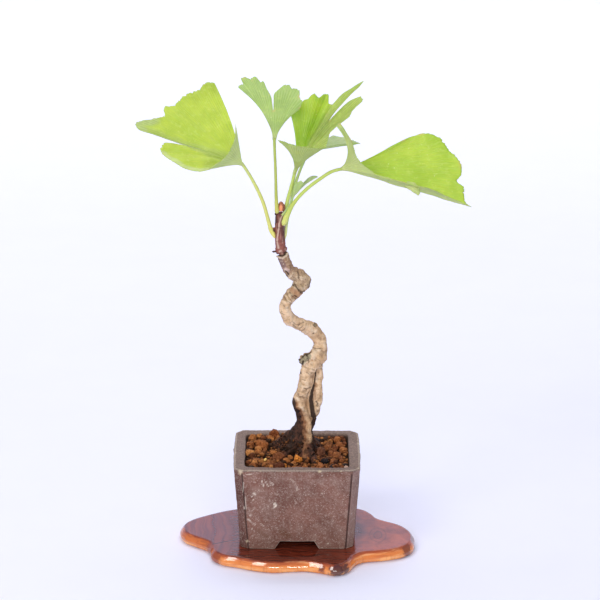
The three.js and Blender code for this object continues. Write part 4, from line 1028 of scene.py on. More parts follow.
# Marks on the front of the old wood, in the elevation: kind, path, half width, depth, strength
BARK_MARKS = [
    ("dark", [[-11.4, 167.3], [-9.8, 166.4], [-8.1, 165.9], [-6.8, 166.7], [-6.0, 168.1]], 0.45, 0.4, 0.95),
    (
        "cream", [[-10.9, 165.9], [-9.2, 164.9], [-7.6, 164.7], [-6.0, 165.9], [-5.4, 167.6]], 0.5, -0.25,
        0.8,
    ),
    ("purple", [[-9.2, 163.2], [-7.6, 161.4], [-7.0, 160.2]], 1.3, 0.0, 0.75),
    ("pink", [[-6.0, 158.5], [-5.0, 157.9]], 1.0, -0.1, 0.8),
    ("dark", [[-4.6, 155.4], [-5.1, 156.3], [-6.2, 157.4]], 0.5, 0.45, 0.9),
    ("dark", [[-3.2, 158.8], [-3.9, 160.9]], 0.28, 0.2, 0.5),
    ("dark", [[0.3, 157.1], [1.1, 155.1], [0.9, 153.4]], 0.45, 0.4, 0.62),
    ("dark", [[-2.4, 154.4], [-0.6, 153.0]], 0.25, 0.2, 0.5),
    ("cream", [[2.1, 154.0], [2.6, 152.6]], 0.6, -0.2, 0.8),
    ("dark", [[-1.1, 149.7], [0.0, 147.7], [1.7, 146.0], [3.6, 145.2]], 0.4, 0.55, 0.75),
    ("rust", [[-2.6, 146.6], [-1.1, 145.7], [0.4, 144.6], [2.2, 143.6]], 1.3, 0.0, 0.75),
    ("dark", [[-6.8, 155.4], [-5.6, 154.2]], 0.7, 0.2, 0.85),
    ("dark", [[-2.9, 150.4], [-1.7, 148.9]], 0.5, 0.3, 0.8),
    ("dark", [[2.2, 145.0], [3.8, 145.9]], 0.6, 0.2, 0.8),
    ("dark", [[6.4, 148.0], [7.4, 150.6], [7.6, 153.2]], 0.35, 0.1, 0.55),
    ("pink", [[-8.0, 158.6], [-7.4, 156.8]], 0.8, 0.0, 0.4),
    ("cream", [[-5.2, 153.0], [-3.8, 153.8], [-2.9, 155.0]], 0.45, -0.15, 0.6),
    ("cream", [[-4.6, 143.9], [-3.3, 142.0], [-1.6, 140.4]], 0.32, -0.2, 0.7),
    ("cream", [[-6.9, 144.3], [-5.3, 141.6], [-3.5, 139.6]], 0.32, -0.2, 0.7),
    ("rust", [[-3.4, 141.3], [-1.4, 143.2], [0.6, 142.6]], 0.5, 0.1, 0.7),
    ("dark", [[-1.0, 143.6], [0.8, 141.9]], 0.3, 0.3, 0.7),
    ("dark", [[-4.1, 145.7], [-3.0, 143.8], [-1.3, 142.3], [-0.5, 141.5]], 0.28, 0.3, 0.6),
    ("dark", [[-5.7, 145.2], [-4.6, 142.6], [-2.8, 140.3]], 0.26, 0.26, 0.5),
    ("dark", [[-7.1, 143.2], [-5.7, 140.6], [-3.0, 138.9]], 0.26, 0.26, 0.5),
    ("dark", [[-8.4, 139.2], [-6.8, 137.2]], 0.26, 0.24, 0.5),
    ("dark", [[-9.3, 134.1], [-7.1, 132.6]], 0.28, 0.26, 0.5),
    ("cream", [[-5.8, 136.6], [-4.8, 134.4], [-3.2, 132.6]], 0.7, -0.12, 0.6),
    ("dark", [[-2.2, 126.9], [-0.2, 124.9], [1.9, 124.9], [3.6, 126.6]], 0.24, 0.3, 0.55),
    ("dark", [[-2.7, 128.9], [-1.1, 127.2], [1.1, 126.6], [2.8, 128.1]], 0.22, 0.26, 0.5),
    ("dark", [[-4.4, 129.8], [-3.6, 127.6]], 0.22, 0.24, 0.4),
    ("dark", [[1.7, 122.9], [4.1, 124.3], [5.2, 127.5]], 0.24, 0.28, 0.5),
    ("dark", [[3.6, 121.5], [6.1, 120.0]], 0.26, 0.26, 0.5),
    ("dark", [[9.1, 121.8]], 0.55, 0.25, 0.8),
    ("dark", [[3.6, 128.1]], 0.4, 0.2, 0.6),
    ("dark", [[9.4, 116.3]], 0.4, 0.2, 0.6),
    ("rust", [[8.5, 117.8], [10.6, 116.4]], 0.6, 0.0, 0.5),
    ("dark", [[8.5, 113.7], [10.5, 113.0], [13.0, 113.2]], 0.32, 0.45, 0.6),
    ("cream", [[8.8, 112.3], [10.6, 111.8], [12.7, 112.1]], 0.4, -0.3, 0.75),
    ("cream", [[9.9, 111.1], [9.4, 109.2], [9.1, 107.1]], 0.7, -0.1, 0.6),
    ("rust", [[8.5, 106.4]], 0.6, 0.15, 0.9),
    ("dark", [[1.7, 106.5], [2.8, 108.3], [4.4, 109.4], [6.6, 110.3], [7.7, 111.1]], 0.42, 0.6, 0.95),
    ("dark", [[5.9, 108.6], [6.6, 106.2], [6.2, 103.8]], 0.3, 0.35, 0.6),
    ("dark", [[3.6, 106.0], [2.8, 104.2], [1.8, 101.9], [1.7, 99.0]], 0.5, 0.7, 1.0),
    ("dark", [[12.7, 102.5], [14.9, 104.2], [16.8, 106.5]], 0.34, 0.3, 0.6),
    ("dark", [[3.9, 90.4], [5.3, 89.6], [7.3, 90.8]], 0.34, 0.35, 0.65),
    ("dark", [[2.8, 95.6], [4.4, 95.0]], 0.28, 0.25, 0.5),
    ("dark", [[0.3, 86.6], [1.7, 85.1], [3.3, 85.7]], 0.28, 0.3, 0.55),
    ("dark", [[5.4, 99.4], [6.9, 98.4], [8.2, 98.8]], 0.26, 0.25, 0.5),
    ("cream", [[0.0, 84.6], [1.0, 83.6]], 0.6, -0.15, 0.75),
    ("cream", [[2.8, 78.8], [3.6, 77.6]], 0.6, -0.1, 0.7),
    ("cream", [[10.5, 96.1], [11.0, 94.2]], 0.6, -0.1, 0.8),
    ("dark", [[10.6, 82.5], [11.4, 81.4]], 0.45, 0.3, 0.8),
    ("rust", [[9.9, 93.0], [9.6, 88.0], [9.6, 84.2]], 0.9, 0.0, 0.65),
    ("rust", [[3.6, 65.4]], 0.8, 0.0, 0.9),
    ("rust", [[6.4, 59.5]], 0.8, 0.0, 0.9),
    ("rust", [[4.7, 61.9]], 0.6, 0.0, 0.9),
    ("dark", [[8.9, 75.3], [8.6, 70.6], [8.4, 64.0]], 0.55, 0.4, 0.95),
]
# Cuts healed over: centre, radius, depth, how dark
SCARS = [
    ([10.0, 0.0, 125.6], 1.15, 0.8, 0.75),
    ([-8.0, -7.4, 136.0], 0.5, 0.2, 0.5),
    ([11.4, -3.0, 80.4], 0.7, 0.3, 0.7),
    ([12.6, -1.4, 118.2], 0.4, 0.2, 0.5),
    ([4.8, 6.8, 113.0], 1.1, 0.6, 0.8),
    ([-2.4, 7.0, 140.0], 0.9, 0.5, 0.7),
]
# The gap between the two stems, painted dark as shade, and the line where earth has stained the foot
STEM_GAP = [[10.5, 101.3], [10.2, 97.3], [9.4, 92.7], [8.3, 88.0], [7.7, 83.4], [8.3, 78.8], [9.1, 74.1]]
STAIN_EDGE = [
    [56.0, 4.6], [60.1, 4.9], [65.9, 4.9], [71.8, 4.2], [74.7, 3.9], [77.6, 2.2], [80.5, 0.0], [83.4, -1.6]
]
# Lines up the foot: the root that stays pale, and the blackest edge
PALE_ROOT = [[2.8, 84.6], [5.3, 80.5], [6.8, 76.4], [7.0, 71.8], [6.5, 65.9], [6.8, 60.1], [6.9, 56.6]]
BLACK_EDGE = [[-1.8, 84.0], [-1.6, 81.7], [-1.2, 78.2], [-0.5, 74.7], [-0.3, 70.6]]

# Old roots grown together at the foot, on the left and behind
ROOT_MASS = [
    [
        [2, 4, 67, 2.8], [-1.0, 5.5, 61.5, 3.4], [-5.5, 8, 57.5, 3.2], [-10.5, 10.5, 53.6, 2.4],
        [-14.5, 13, 49.5, 1.2],
    ],
    [
        [2.5, 1, 66, 2.8], [-0.6, -0.5, 59.5, 3.0], [-3.6, -1.5, 55.4, 2.6], [-6.8, -3.5, 52.0, 1.8],
        [-9, -5, 48, 1.0],
    ],
    [[4.5, 2, 64, 2.8], [6.5, 6.5, 58.5, 3.0], [9.5, 9.5, 54.4, 2.4], [13, 12, 50.5, 1.4]],
    [[3.2, 0, 60, 3.0], [3.6, -5.0, 54.5, 2.2], [4.4, -8.5, 51.8, 1.5], [5.2, -12, 48, 0.8]],
]


# The level of the roots' tops on a grid round the trunk, filled in once the trunk is built
FOOT_CELL = 0.75
FOOT_LEVEL = np.zeros((80, 80))
FOOT_HALF = 30
TRUNK_FOOT = (3.3, 3.0)


def knob_parts(knobs):
    """Closed lumps at the given centres, as parts for a skin."""
    lumps = [lump(centre, radii) for centre, radii in knobs]
    return [(points, [faces]) for points, faces in lumps]


def build_trunk(finish):
    limbs = [TRUNK, SECOND_STEM, SNAG] + ROOTS
    parts = [
        tube(TRUNK, 28, 5)[:2], tube(SECOND_STEM, 22, 5)[:2], tube(SNAG, 20, 4)[:2], tube(CLEFT, 16, 4)[:2]
    ]
    parts += [tube(root, 18, 5)[:2] for root in ROOTS + ROOT_MASS]
    for k in range(9):
        # finer roots that lie along the soil
        turn = k * 2.4 + 0.5
        reach = 6.5 + 3.5 * ((k * 7) % 5) / 5
        way = np.array([math.cos(turn), math.sin(turn), 0])
        bend = np.array([-way[1], way[0], 0]) * (1.6 if k % 2 else -1.6)
        foot = np.array([*TRUNK_FOOT, 0])
        parts.append(tube([
            [*(foot + way * 3.4)[:2], 57.5, 1.5],
            [*(foot + way * reach * 0.62 + bend * 0.6)[:2], 52.4, 1.15],
            [*(foot + way * reach + bend)[:2], 51.2, 0.85],
            [*(foot + way * reach * 1.5 + bend * 1.6)[:2], 49.6, 0.5],
        ], 12, 4)[:2])
    parts += knob_parts(KNOBS)
    points, faces = skin("trunk_skin", parts, TRUNK_VOXEL, 2)
    length, away, limb = limb_coordinates(points, limbs)
    normals = point_normals(points, faces)
    flat = elevation(points)
    facing = ramp(0.35, -0.15, normals[:, 1])
    z = points[:, 2]
    stem = ramp(56, 64, z)
    # transverse wrinkles and fine cracks, folds lengthwise on the low wood, soft lumps
    round_it = np.stack(
        [length / 0.62, away[:, 0] * 1.5 + away[:, 1] * 0.6, away[:, 2] * 1.5 + limb * 9.0], -1
    )
    rings = noise(round_it, 1.0, 3) * 0.6 + noise(round_it * [0.42, 0.8, 0.8], 1.0, 4) * 0.7
    rings_here = ramp(-0.55, 0.3, layered(points, 8.0, 2, 8))
    split = np.abs(noise(round_it * [0.36, 0.9, 0.9], 1.0, 5))
    cracks = ramp(0.14, 0.03, split) * ramp(-0.15, 0.35, noise(points, 3.4, 6)) * stem
    lengthwise = np.stack(
        [length / 5.5, away[:, 0] * 3.2, (away[:, 2] + away[:, 1]) * 3.2 + limb * 7.0], -1
    )
    furrow = ramp(0.78, 1.0, 1 - np.abs(noise(lengthwise, 1.0, 12)))
    low_wood = ramp(104, 70, z)
    lumps = layered(points, 4.4, 3, 20)
    knots = noise(points, 1.7, 23)
    lumpy = 1 + 0.6 * ramp(142, 147, z) * ramp(160, 154, z)
    lift = (0.55 * lumps + 0.26 * knots) * lumpy + 0.10 * noise(points, 0.8, 27)
    lift += 0.19 * rings * rings_here * stem
    lift -= 0.20 * cracks
    lift -= 0.28 * furrow * (0.20 + 0.80 * low_wood)
    gnarled = ramp(68, 60, z)
    lift += (0.55 * layered(points, 2.4, 3, 29) + 0.25 * noise(points, 0.8, 28)) * gnarled
    # painted shade: the dents of the gnarled foot, the furrows and the hollows between the rings are
    # darkened; the cracks are darkened partly as their own colour and partly as painted shade
    dark = 0.75 * ramp(0.05, -0.45, layered(points, 2.4, 3, 29)) * gnarled
    dark = np.maximum(dark, 0.50 * ramp(0.35, 0.95, furrow) * (0.1 + 0.9 * low_wood))
    dark = np.maximum(dark, 0.28 * rings_here * ramp(-0.25, -0.75, rings) * stem)
    dark = np.maximum(dark, 0.26 * cracks)
    tones = {kind: np.zeros(len(points)) for kind in ("dark", "cream", "rust", "purple", "pink")}
    uneven, frayed = 0.20 * noise(points, 0.9, 61), 0.12 * noise(points, 0.45, 62)
    for kind, path, width, depth, strength in BARK_MARKS:
        gap = near_path(flat, path) + uneven + frayed
        lift -= depth * ramp(width * 1.9, 0.0, gap) * facing
        if depth > 0.25:
            lift += 0.15 * ramp(width * 3.6, width * 2.0, gap) * facing
        mark = strength * ramp(width * 1.5, width * 0.5, gap) * facing
        tones[kind] = np.maximum(tones[kind], mark)
    dark = np.maximum(dark, tones["dark"])
    scar_face, ragged = np.zeros(len(points)), 0.25 * noise(points, 1.0, 71)
    for centre, radius, depth, darkness in SCARS:
        gap = np.linalg.norm((points - centre) * [1, 0.7, 1.0], axis=1) + ragged
        lift -= depth * ramp(radius, radius * 0.3, gap)
        lift += 0.4 * ramp(radius * 0.7, radius * 1.15, gap) * ramp(radius * 1.9, radius * 1.2, gap)
        ring = ramp(radius * 1.15, radius * 0.85, gap)
        dark = np.maximum(dark, darkness * ring * (1 - 0.7 * ramp(radius * 0.75, radius * 0.4, gap)))
        scar_face = np.maximum(scar_face, ramp(radius * 0.8, radius * 0.5, gap))
    # the broken stub: torn wood with a grey green face over black hollows
    stub = ramp(5.6, 3.4, np.linalg.norm((points - [2.6, -2.8, 105.2]) * [1, 0.8, 0.82], axis=1))
    torn = 0.75 * noise(points, 1.5, 81) + 0.45 * noise(points, 0.7, 82)
    lift += stub * (0.8 * torn + 0.25)
    face = near_path(flat, [[2.2, 105.4], [3.8, 107.2], [6.0, 108.6]]) + 0.5 * noise(points, 1.0, 83)
    stub_face = np.maximum(ramp(2.2, 1.4, face) * facing, 0.8 * scar_face)
    hollow = (
        near_path(flat, [[0.9, 106.6], [0.6, 104.4], [1.3, 102.8], [0.5, 101.2], [0.2, 99.2]])
        + 0.35 * noise(points, 0.9, 86)
    )
    dark = np.maximum(dark, 0.97 * ramp(1.0, 0.55, hollow) * facing)
    dark = np.maximum(dark, 0.9 * ramp(2.4, 1.6, face) * ramp(0.28, 0.55, noise(points, 1.1, 84)) * facing)
    # between the two stems the wood is painted near black as shade
    gap = near_path(flat, STEM_GAP) + 0.15 * noise(points, 1.3, 91)
    wide = np.interp(flat[:, 1], [74, 80, 85, 90, 93, 97, 101], [1.5, 1.35, 1.15, 0.75, 0.5, 0.38, 0.32])
    stem_gap_shade = ramp(1.15, 0.75, gap / wide) * ramp(0.8, 0.2, normals[:, 1])
    dark = np.maximum(dark, 0.97 * stem_gap_shade)
    # foot: dark earth-stained bark on the left, one pale root on the right, red bark at the soil
    rows = np.array(STAIN_EDGE)
    edge = (
        np.interp(flat[:, 1], rows[:, 0], rows[:, 1])
        + 0.8 * noise(points, 1.8, 97)
        + 0.4 * noise(points, 0.7, 98)
    )
    pale = ramp(1.9, 1.1, near_path(flat, PALE_ROOT) + 0.3 * noise(points, 1.6, 95)) * facing
    stain = ramp(0.5, -0.5, flat[:, 0] - edge) * ramp(84.5, 82.5, flat[:, 1])
    brown = ramp(2.0, 0.2, np.abs(flat[:, 0] - edge + 0.2)) * ramp(85.5, 83, flat[:, 1]) * facing
    tones["rust"] = np.maximum(tones["rust"], 0.75 * brown)
    stain = np.maximum(
        stain, ramp(9.6, 10.6, flat[:, 0]) * ramp(75.0, 72.0, flat[:, 1] + noise(points, 2.0, 94))
    )
    stain = np.maximum(stain, ramp(7.6, 8.4, flat[:, 0]) * ramp(75, 72, flat[:, 1]))
    stain = np.maximum(stain, ramp(61.5, 57.5, flat[:, 1] + noise(points, 2.0, 93)))
    stain = np.maximum(
        stain, 0.65 * ramp(-0.1, 0.6, normals[:, 1]) * ramp(80, 64, z + 5 * noise(points, 3.5, 92))
    )
    stain = stain * (1 - 0.92 * pale * ramp(57.5, 61, flat[:, 1]))
    blackest = ramp(1.1, 0.5, near_path(flat, BLACK_EDGE) + 0.25 * noise(points, 1.2, 99))
    dark = np.maximum(dark, 0.9 * blackest * ramp(0.6, 0.1, normals[:, 1]))
    red = ramp(66, 58, z + 2.5 * noise(points, 2.6, 100)) * ramp(-0.15, 0.35, noise(points, 1.8, 101))
    front_root = ramp(2.0, 1.0, near_path(flat, [[5.6, 60.5], [4.8, 57.0], [5.4, 50.5], [5.2, 46.0]]))
    red = np.maximum(red, 0.9 * front_root)
    shaded = ramp(-0.62, -0.10, normals[:, 1])
    # painted light on the crests of the lumps, knots and rings, and painted shade in the hollows between
    # them
    crest = np.clip(0.5 + 0.55 * knots * 0.5 + 0.5 * rings * rings_here * 0.5 + 0.4 * lumps, 0, 1)
    points = points + normals * lift[:, None]
    shape = Shape()
    shape.add(
        points, faces, 0, dark=np.clip(dark, 0, 1), stain=np.clip(stain, 0, 1), stub=stub_face,
        cream=tones["cream"], rust=tones["rust"], purple=tones["purple"], pink=tones["pink"],
        red=red, shaded=shaded, crest=crest, pale=pale * ramp(86, 82, z), height=z,
        along=np.stack([length, away[:, 0] * 4, away[:, 2] * 4 + limb * 9], -1),
    )
    # how high the roots stand over the earth, for what lies on them
    low = points[(points[:, 2] < 62) & (np.abs(points[:, :2]).max(axis=1) < 29)]
    cells = ((low[:, :2] + FOOT_HALF) / FOOT_CELL).astype(int)
    np.maximum.at(FOOT_LEVEL, (cells[:, 0], cells[:, 1]), low[:, 2])
    return piece("trunk_bark", shape, "trunk", [finish])


def old_bark():
    f = Finish("old_bark")
    dark, stain, stub = f.value("dark"), f.value("stain"), f.value("stub")
    height, crest = f.value("height"), f.value("crest")
    x = f.apart(f.place)["X"]
    broad = f.noise(7.0, 3.0, 0.6)
    fine = f.noise(0.7, 4.0, 0.68)
    sand = f.noise(0.32, 3.0, 0.6)
    # fine bands that run round the limbs
    band = f.noise(1.0, 3.0, 0.62, where=f.scaled(f.tint("along"), (1.25, 0.22, 0.22)))
    elbow = f.mul(f.between(144.0, 148.0, height), f.between(160.0, 155.0, height))
    # the youngest old wood is pinkish grey on the left and speckled tan on the right
    upper = f.between(152.0, 159.0, height)
    side = f.between(-5.2, -8.2, f.add(x, f.mul(broad, 1.6)))
    young = f.mix(side, (0.335, 0.195, 0.116), (0.220, 0.118, 0.098))
    speck_share = f.add(0.10, f.mul(f.math("MAXIMUM", upper, elbow), 0.7))
    spots = f.mul(f.between(0.26, 0.14, f.cells(1.35)), f.between(0.46, 0.56, f.noise(2.6, 1.0)))
    rough = f.math("MAXIMUM", upper, elbow)
    mottle = f.noise(0.95, 3.0, 0.66)
    patch = f.between(0.58, 0.70, f.noise(3.6, 2.0))
    rusty = f.mix(fine, (0.30, 0.125, 0.055), (0.46, 0.215, 0.10))
    light = f.coats(
        f.mix(f.between(0.32, 0.68, broad), (0.6, 0.385, 0.212), (0.8, 0.565, 0.362)),
        # painted shade in the hollows of the relief, painted light on its crests
        (crest, 0.5, 0.15, 0.8, (0.37, 0.225, 0.125)),
        (crest, 0.55, 0.9, 0.7, (0.83, 0.64, 0.455)),
        (band, 0.5, 0.72, 0.5, (0.42, 0.265, 0.155)),
        (band, 0.46, 0.28, 0.4, (0.85, 0.67, 0.49)),
        (f.value("shaded"), 0.42, (0.36, 0.225, 0.13)),
        (elbow, 0.6, (0.41, 0.3, 0.195)),
        (upper, 0.92, young),
        (f.value("purple"), 0.9, (0.19, 0.115, 0.125)),
        (f.value("pink"), (0.62, 0.44, 0.4)),
        (fine, 0.44, 0.28, 0.6, (0.33, 0.205, 0.125)),
        (fine, 0.58, 0.72, 0.5, (0.86, 0.7, 0.53)),
        (spots, speck_share, (0.19, 0.115, 0.075)),
        (mottle, 0.47, 0.33, f.mul(rough, 0.75), (0.2, 0.125, 0.082)),
        (mottle, 0.56, 0.68, f.mul(rough, 0.7), (0.74, 0.6, 0.45)),
        (patch, 0.3, (0.66, 0.59, 0.46)),
        (f.value("pale"), 0.55, (0.52, 0.31, 0.165)),
        (f.value("rust"), 0.85, rusty),
    )
    damp = f.coats(
        f.mix(f.between(0.4, 0.62, f.noise(1.5, 4.0, 0.72)), (0.008, 0.004, 0.003), (0.082, 0.031, 0.017)),
        (fine, 0.6, 0.7, 0.5, (0.24, 0.125, 0.07)),
        (f.value("red"), 0.75, f.mix(f.between(0.35, 0.65, fine), (0.04, 0.014, 0.01), (0.2, 0.07, 0.038))),
        (f.value("rust"), 0.9, rusty),
    )
    grain = f.add(f.mul(fine, 0.8), f.mul(band, 0.7))
    grain = f.add(grain, f.mul(sand, 0.35))
    normal = f.bump(grain, 0.42, 0.9)
    colour = f.coats(
        f.mix(stain, light, damp),
        (f.value("cream"), 0.85, f.mix(fine, (0.66, 0.49, 0.34), (0.88, 0.74, 0.57))),
        (stub, 0.85, f.mix(f.between(0.35, 0.65, fine), (0.155, 0.135, 0.075), (0.4, 0.355, 0.23))),
        (dark, f.mix(fine, (0.012, 0.007, 0.005), (0.06, 0.03, 0.018))),
    )
    return f.surface(colour, f.add(0.60, f.mul(fine, 0.3)), normal, Specular_IOR_Level=0.3)


# Marks on the front of the shoot, in the elevation: kind, path, half width, depth, strength
SHOOT_MARKS = [
    ("dark", [[-12.9, 190.4], [-12.6, 187.0], [-12.7, 183.2]], 0.95, 0.0, 0.62),
    (
        "pale",
        [
            [-7.3, 189.2], [-8.6, 187.3], [-9.7, 183.9], [-10.0, 180.5], [-10.5, 177.2], [-10.7, 173.8],
            [-10.0, 170.4],
        ],
        0.42,
        -0.12,
        0.95,
    ),
    ("pale", [[-8.2, 186.0], [-8.0, 184.6]], 0.3, 0.0, 0.6),
    ("pale", [[-7.6, 176.8], [-7.9, 173.2]], 0.28, 0.0, 0.45),
    ("pale", [[-9.5, 168.4], [-8.8, 168.8]], 0.55, -0.1, 0.9),
    ("pale", [[-6.6, 170.0], [-5.9, 168.6]], 0.3, -0.1, 0.5),
    ("pale", [[-10.9, 165.9], [-9.2, 164.9], [-7.6, 164.7], [-6.0, 165.9], [-5.4, 167.6]], 0.5, -0.2, 0.8),
    (
        "dark", [[-11.4, 167.3], [-9.8, 166.4], [-8.1, 165.9], [-6.8, 166.7], [-6.0, 168.1]], 0.45, 0.35,
        0.95,
    ),
    ("dark", [[-11.8, 190.0], [-11.6, 188.0], [-11.5, 185.2]], 0.9, 0.0, 0.9),
    ("dark", [[-7.2, 182.4], [-7.4, 178.6], [-7.0, 175.0]], 0.8, 0.0, 0.55),
    ("dark", [[-12.8, 180.0]], 1.1, 0.0, 0.8),
    ("dark", [[-11.6, 168.1], [-12.4, 168.3], [-13.2, 168.6]], 0.6, 0.0, 0.95),
    ("dark", [[-10.6, 181.9], [-8.6, 181.5], [-7.0, 182.0]], 0.2, 0.15, 0.6),
    ("dark", [[-11.4, 174.2], [-9.0, 173.6], [-7.0, 174.3]], 0.2, 0.15, 0.5),
]

# Rings round the shoot: level, width, how far they stand out
SHOOT_RINGS = [(167.2, 0.28, -0.30), (169.3, 0.30, 0.22), (171.0, 0.25, -0.14), (181.6, 0.25, -0.12)]


def build_shoot(finish):
    parts = [tube(SHOOT, 36, 8)[:2]] + knob_parts(SHOOT_KNOBS)
    # the pointed scale at the left of the ring
    parts.append(
        tube([[-10.6, -1.2, 167.4, 0.8], [-11.9, -1.2, 167.8, 0.55], [-12.9, -1.1, 168.2, 0.2]], 12, 4)[:2]
    )
    points, faces = skin("shoot_skin", parts, SHOOT_VOXEL, 2)
    length, away, _ = limb_coordinates(points, [SHOOT])
    normals = point_normals(points, faces)
    flat = elevation(points)
    facing = ramp(0.45, -0.1, normals[:, 1])
    z = points[:, 2]
    turned = np.arctan2(away[:, 1], away[:, 0])
    ridge_field = np.stack([length / 9, np.cos(turned) * 2.4, np.sin(turned) * 2.4], -1)
    ridges = noise(ridge_field, 0.42, 5)
    lift = 0.14 * ridges + 0.16 * layered(points, 2.0, 2, 6)
    sway = 0.25 * noise(points, 2.0, 9)
    rings = np.zeros(len(z))
    for level, width, size in SHOOT_RINGS:
        rings += size * np.exp(-(((z + sway - level - 0.12 * points[:, 0] - 1.1) / width) ** 2))
    lift += rings
    tones = {"pale": 0.45 * ramp(0.45, 0.85, noise(ridge_field, 0.55, 15) + 0.15), "dark": np.zeros(len(z))}
    behind = ramp(170.0, 169.2, z + sway) * ramp(167.8, 168.6, z + sway) * (1 - facing)
    tones["pale"] = np.maximum(tones["pale"], 0.7 * behind)
    uneven = 0.14 * noise(points, 0.8, 16)
    for kind, path, width, depth, strength in SHOOT_MARKS:
        gap = near_path(flat, path) + uneven
        lift -= depth * ramp(width * 1.8, 0.0, gap) * facing
        tones[kind] = np.maximum(tones[kind], strength * ramp(width * 1.4, width * 0.6, gap) * facing)
    dark = np.maximum(tones["dark"], 0.8 * ramp(-0.12, -0.3, rings))
    points = points + normals * lift[:, None]
    shape = Shape()
    shape.add(points, faces, 0, pale=tones["pale"], dark=dark, turned=turned, length=length)
    return piece("shoot_bark", shape, "shoot", [finish])


def young_bark():
    f = Finish("young_bark")
    pale, dark = f.value("pale"), f.value("dark")
    fine = f.noise(0.35, 4.0, 0.65, stretch=(1, 1, 0.35))
    broad = f.noise(2.5, 2.0)
    lower = f.between(181.0, 177.0, f.add(f.apart(f.place)["Z"], f.mul(broad, 4.0)))
    lenticels = f.mul(f.between(0.16, 0.08, f.cells(1.1)), f.between(0.5, 0.58, f.noise(2.2, 1.0)))
    normal = f.bump(fine, 0.18, 0.8)
    colour = f.coats(
        f.mix(f.between(0.35, 0.65, broad), (0.125, 0.031, 0.022), (0.23, 0.066, 0.042)),
        (lower, 0.8, f.mix(broad, (0.19, 0.052, 0.038), (0.34, 0.11, 0.085))),
        (fine, 0.45, 0.25, 0.6, (0.052, 0.018, 0.016)),
        (pale, 0.85, f.mix(fine, (0.46, 0.29, 0.22), (0.7, 0.53, 0.42))),
        (dark, 0.92, (0.035, 0.013, 0.01)),
        (lenticels, 0.7, (0.55, 0.38, 0.27)),
    )
    return f.surface(colour, f.add(0.42, f.mul(fine, 0.3)), normal, Specular_IOR_Level=0.4)


# Scales of the bud: turn round it, width, foot, top, how far out, colour
BUD_SCALES = [
    (-92, 34, 0.02, 0.86, 0.16, (0.80, 0.275, 0.120)),
    (-22, 48, 0.0, 0.74, 0.26, (0.22, 0.055, 0.036)),
    (-172, 50, 0.0, 0.70, 0.26, (0.18, 0.048, 0.032)),
    (60, 52, 0.0, 0.80, 0.16, (0.52, 0.16, 0.08)),
    (120, 50, 0.0, 0.62, 0.28, (0.30, 0.09, 0.05)),
    (-52, 34, 0.12, 1.0, 0.04, (0.34, 0.095, 0.05)),
    (-138, 34, 0.10, 0.97, 0.06, (0.36, 0.10, 0.052)),
]


def build_bud(finish):
    """Overlapping pointed scales on an egg-shaped core."""
    base = np.array(BUD_BASE, float)

    def egg(height):
        return BUD_RADIUS * np.sin(np.pi * np.clip(0.22 + 0.78 * height, 0, 1)) ** 0.6

    shape = Shape()
    core, faces = lump(
        base + [0, 0, BUD_HEIGHT * 0.47], [BUD_RADIUS * 0.8, BUD_RADIUS * 0.8, BUD_HEIGHT * 0.46], 3
    )
    shape.add(core, faces, 0, tint=np.full((len(core), 3), (0.36, 0.12, 0.06)), edge=np.zeros(len(core)))
    for turn, width, foot, top, out, tint in BUD_SCALES:
        a, b = np.meshgrid(np.linspace(-1, 1, 17), np.linspace(0, 1, 19), indexing="ij")
        taper = np.sin(np.pi * (0.22 + 0.78 * b)) ** 0.6 * (1 - b**3) + 0.02
        angle = np.radians(turn) + np.radians(width) * a * taper
        height = foot + (top - foot) * b
        radius = egg(height) * (1 + 0.10 * out) + out * 0.8 + 0.10 * (1 - np.abs(a))
        layers = []
        for grow in (0.0, -0.22):
            r = radius + grow * (1 - 0.6 * np.abs(a))
            layers.append(base + np.stack([r * np.cos(angle), r * np.sin(angle), height * BUD_HEIGHT], -1))
        quads = grid_faces(*a.shape)
        rim_share = np.clip(np.maximum(np.abs(a), b) - 0.72, 0, 1) / 0.28
        shape.add(
            np.concatenate([layer.reshape(-1, 3) for layer in layers]),
            [quads[:, ::-1], quads + a.size, rim_walls(*a.shape)], 0,
            tint=np.full((2 * a.size, 3), tint), edge=np.tile(rim_share.ravel(), 2),
        )
    return piece("terminal_bud_scales", shape, "terminal_bud", [finish])


def bud_finish():
    f = Finish("bud_scales")
    fine = f.noise(0.28, 3.0, 0.6, stretch=(1, 1, 0.3))
    colour = f.coats(
        f.mix(f.mul(f.between(0.46, 0.7, fine), 0.6), f.tint("tint"), (0.84, 0.42, 0.22)),
        (f.value("edge"), 0.6, (0.12, 0.04, 0.026)),
    )
    return f.surface(colour, f.add(0.3, f.mul(fine, 0.25)), f.bump(fine, 0.08, 0.6))


build_trunk(old_bark())
build_shoot(young_bark())
build_bud(bud_finish())

# ---------------------------------------------------------------------------------------
# Stand, pot and soil
# ---------------------------------------------------------------------------------------
def closed_curve(points, count):
    """A closed centripetal Catmull-Rom curve through points, as count evenly spaced points."""
    points = np.asarray(points, float)
    fine = []
    for i in range(len(points)):
        p0, p1, p2, p3 = (points[(i + k) % len(points)] for k in (-1, 0, 1, 2))
        d0, d1, d2 = (np.linalg.norm(b - a) ** 0.5 for a, b in ((p0, p1), (p1, p2), (p2, p3)))
        t1 = ((p1 - p0) / d0 - (p2 - p0) / (d0 + d1) + (p2 - p1) / d1) * d1
        t2 = ((p2 - p1) / d1 - (p3 - p1) / (d1 + d2) + (p3 - p2) / d2) * d1
        t = (np.arange(40) / 40)[:, None]
        fine.append(
            (2 * t**3 - 3 * t**2 + 1) * p1 + (t**3 - 2 * t**2 + t) * t1
            + (3 * t**2 - 2 * t**3) * p2 + (t**3 - t**2) * t2)
    fine = np.concatenate(fine + [fine[0][:1]])
    run = line_lengths(fine)
    at = np.arange(count) / count * run[-1]
    return np.stack([np.interp(at, run, fine[:, k]) for k in range(2)], -1)


STAND_POINTS = 620
STAND_LAYERS = 36
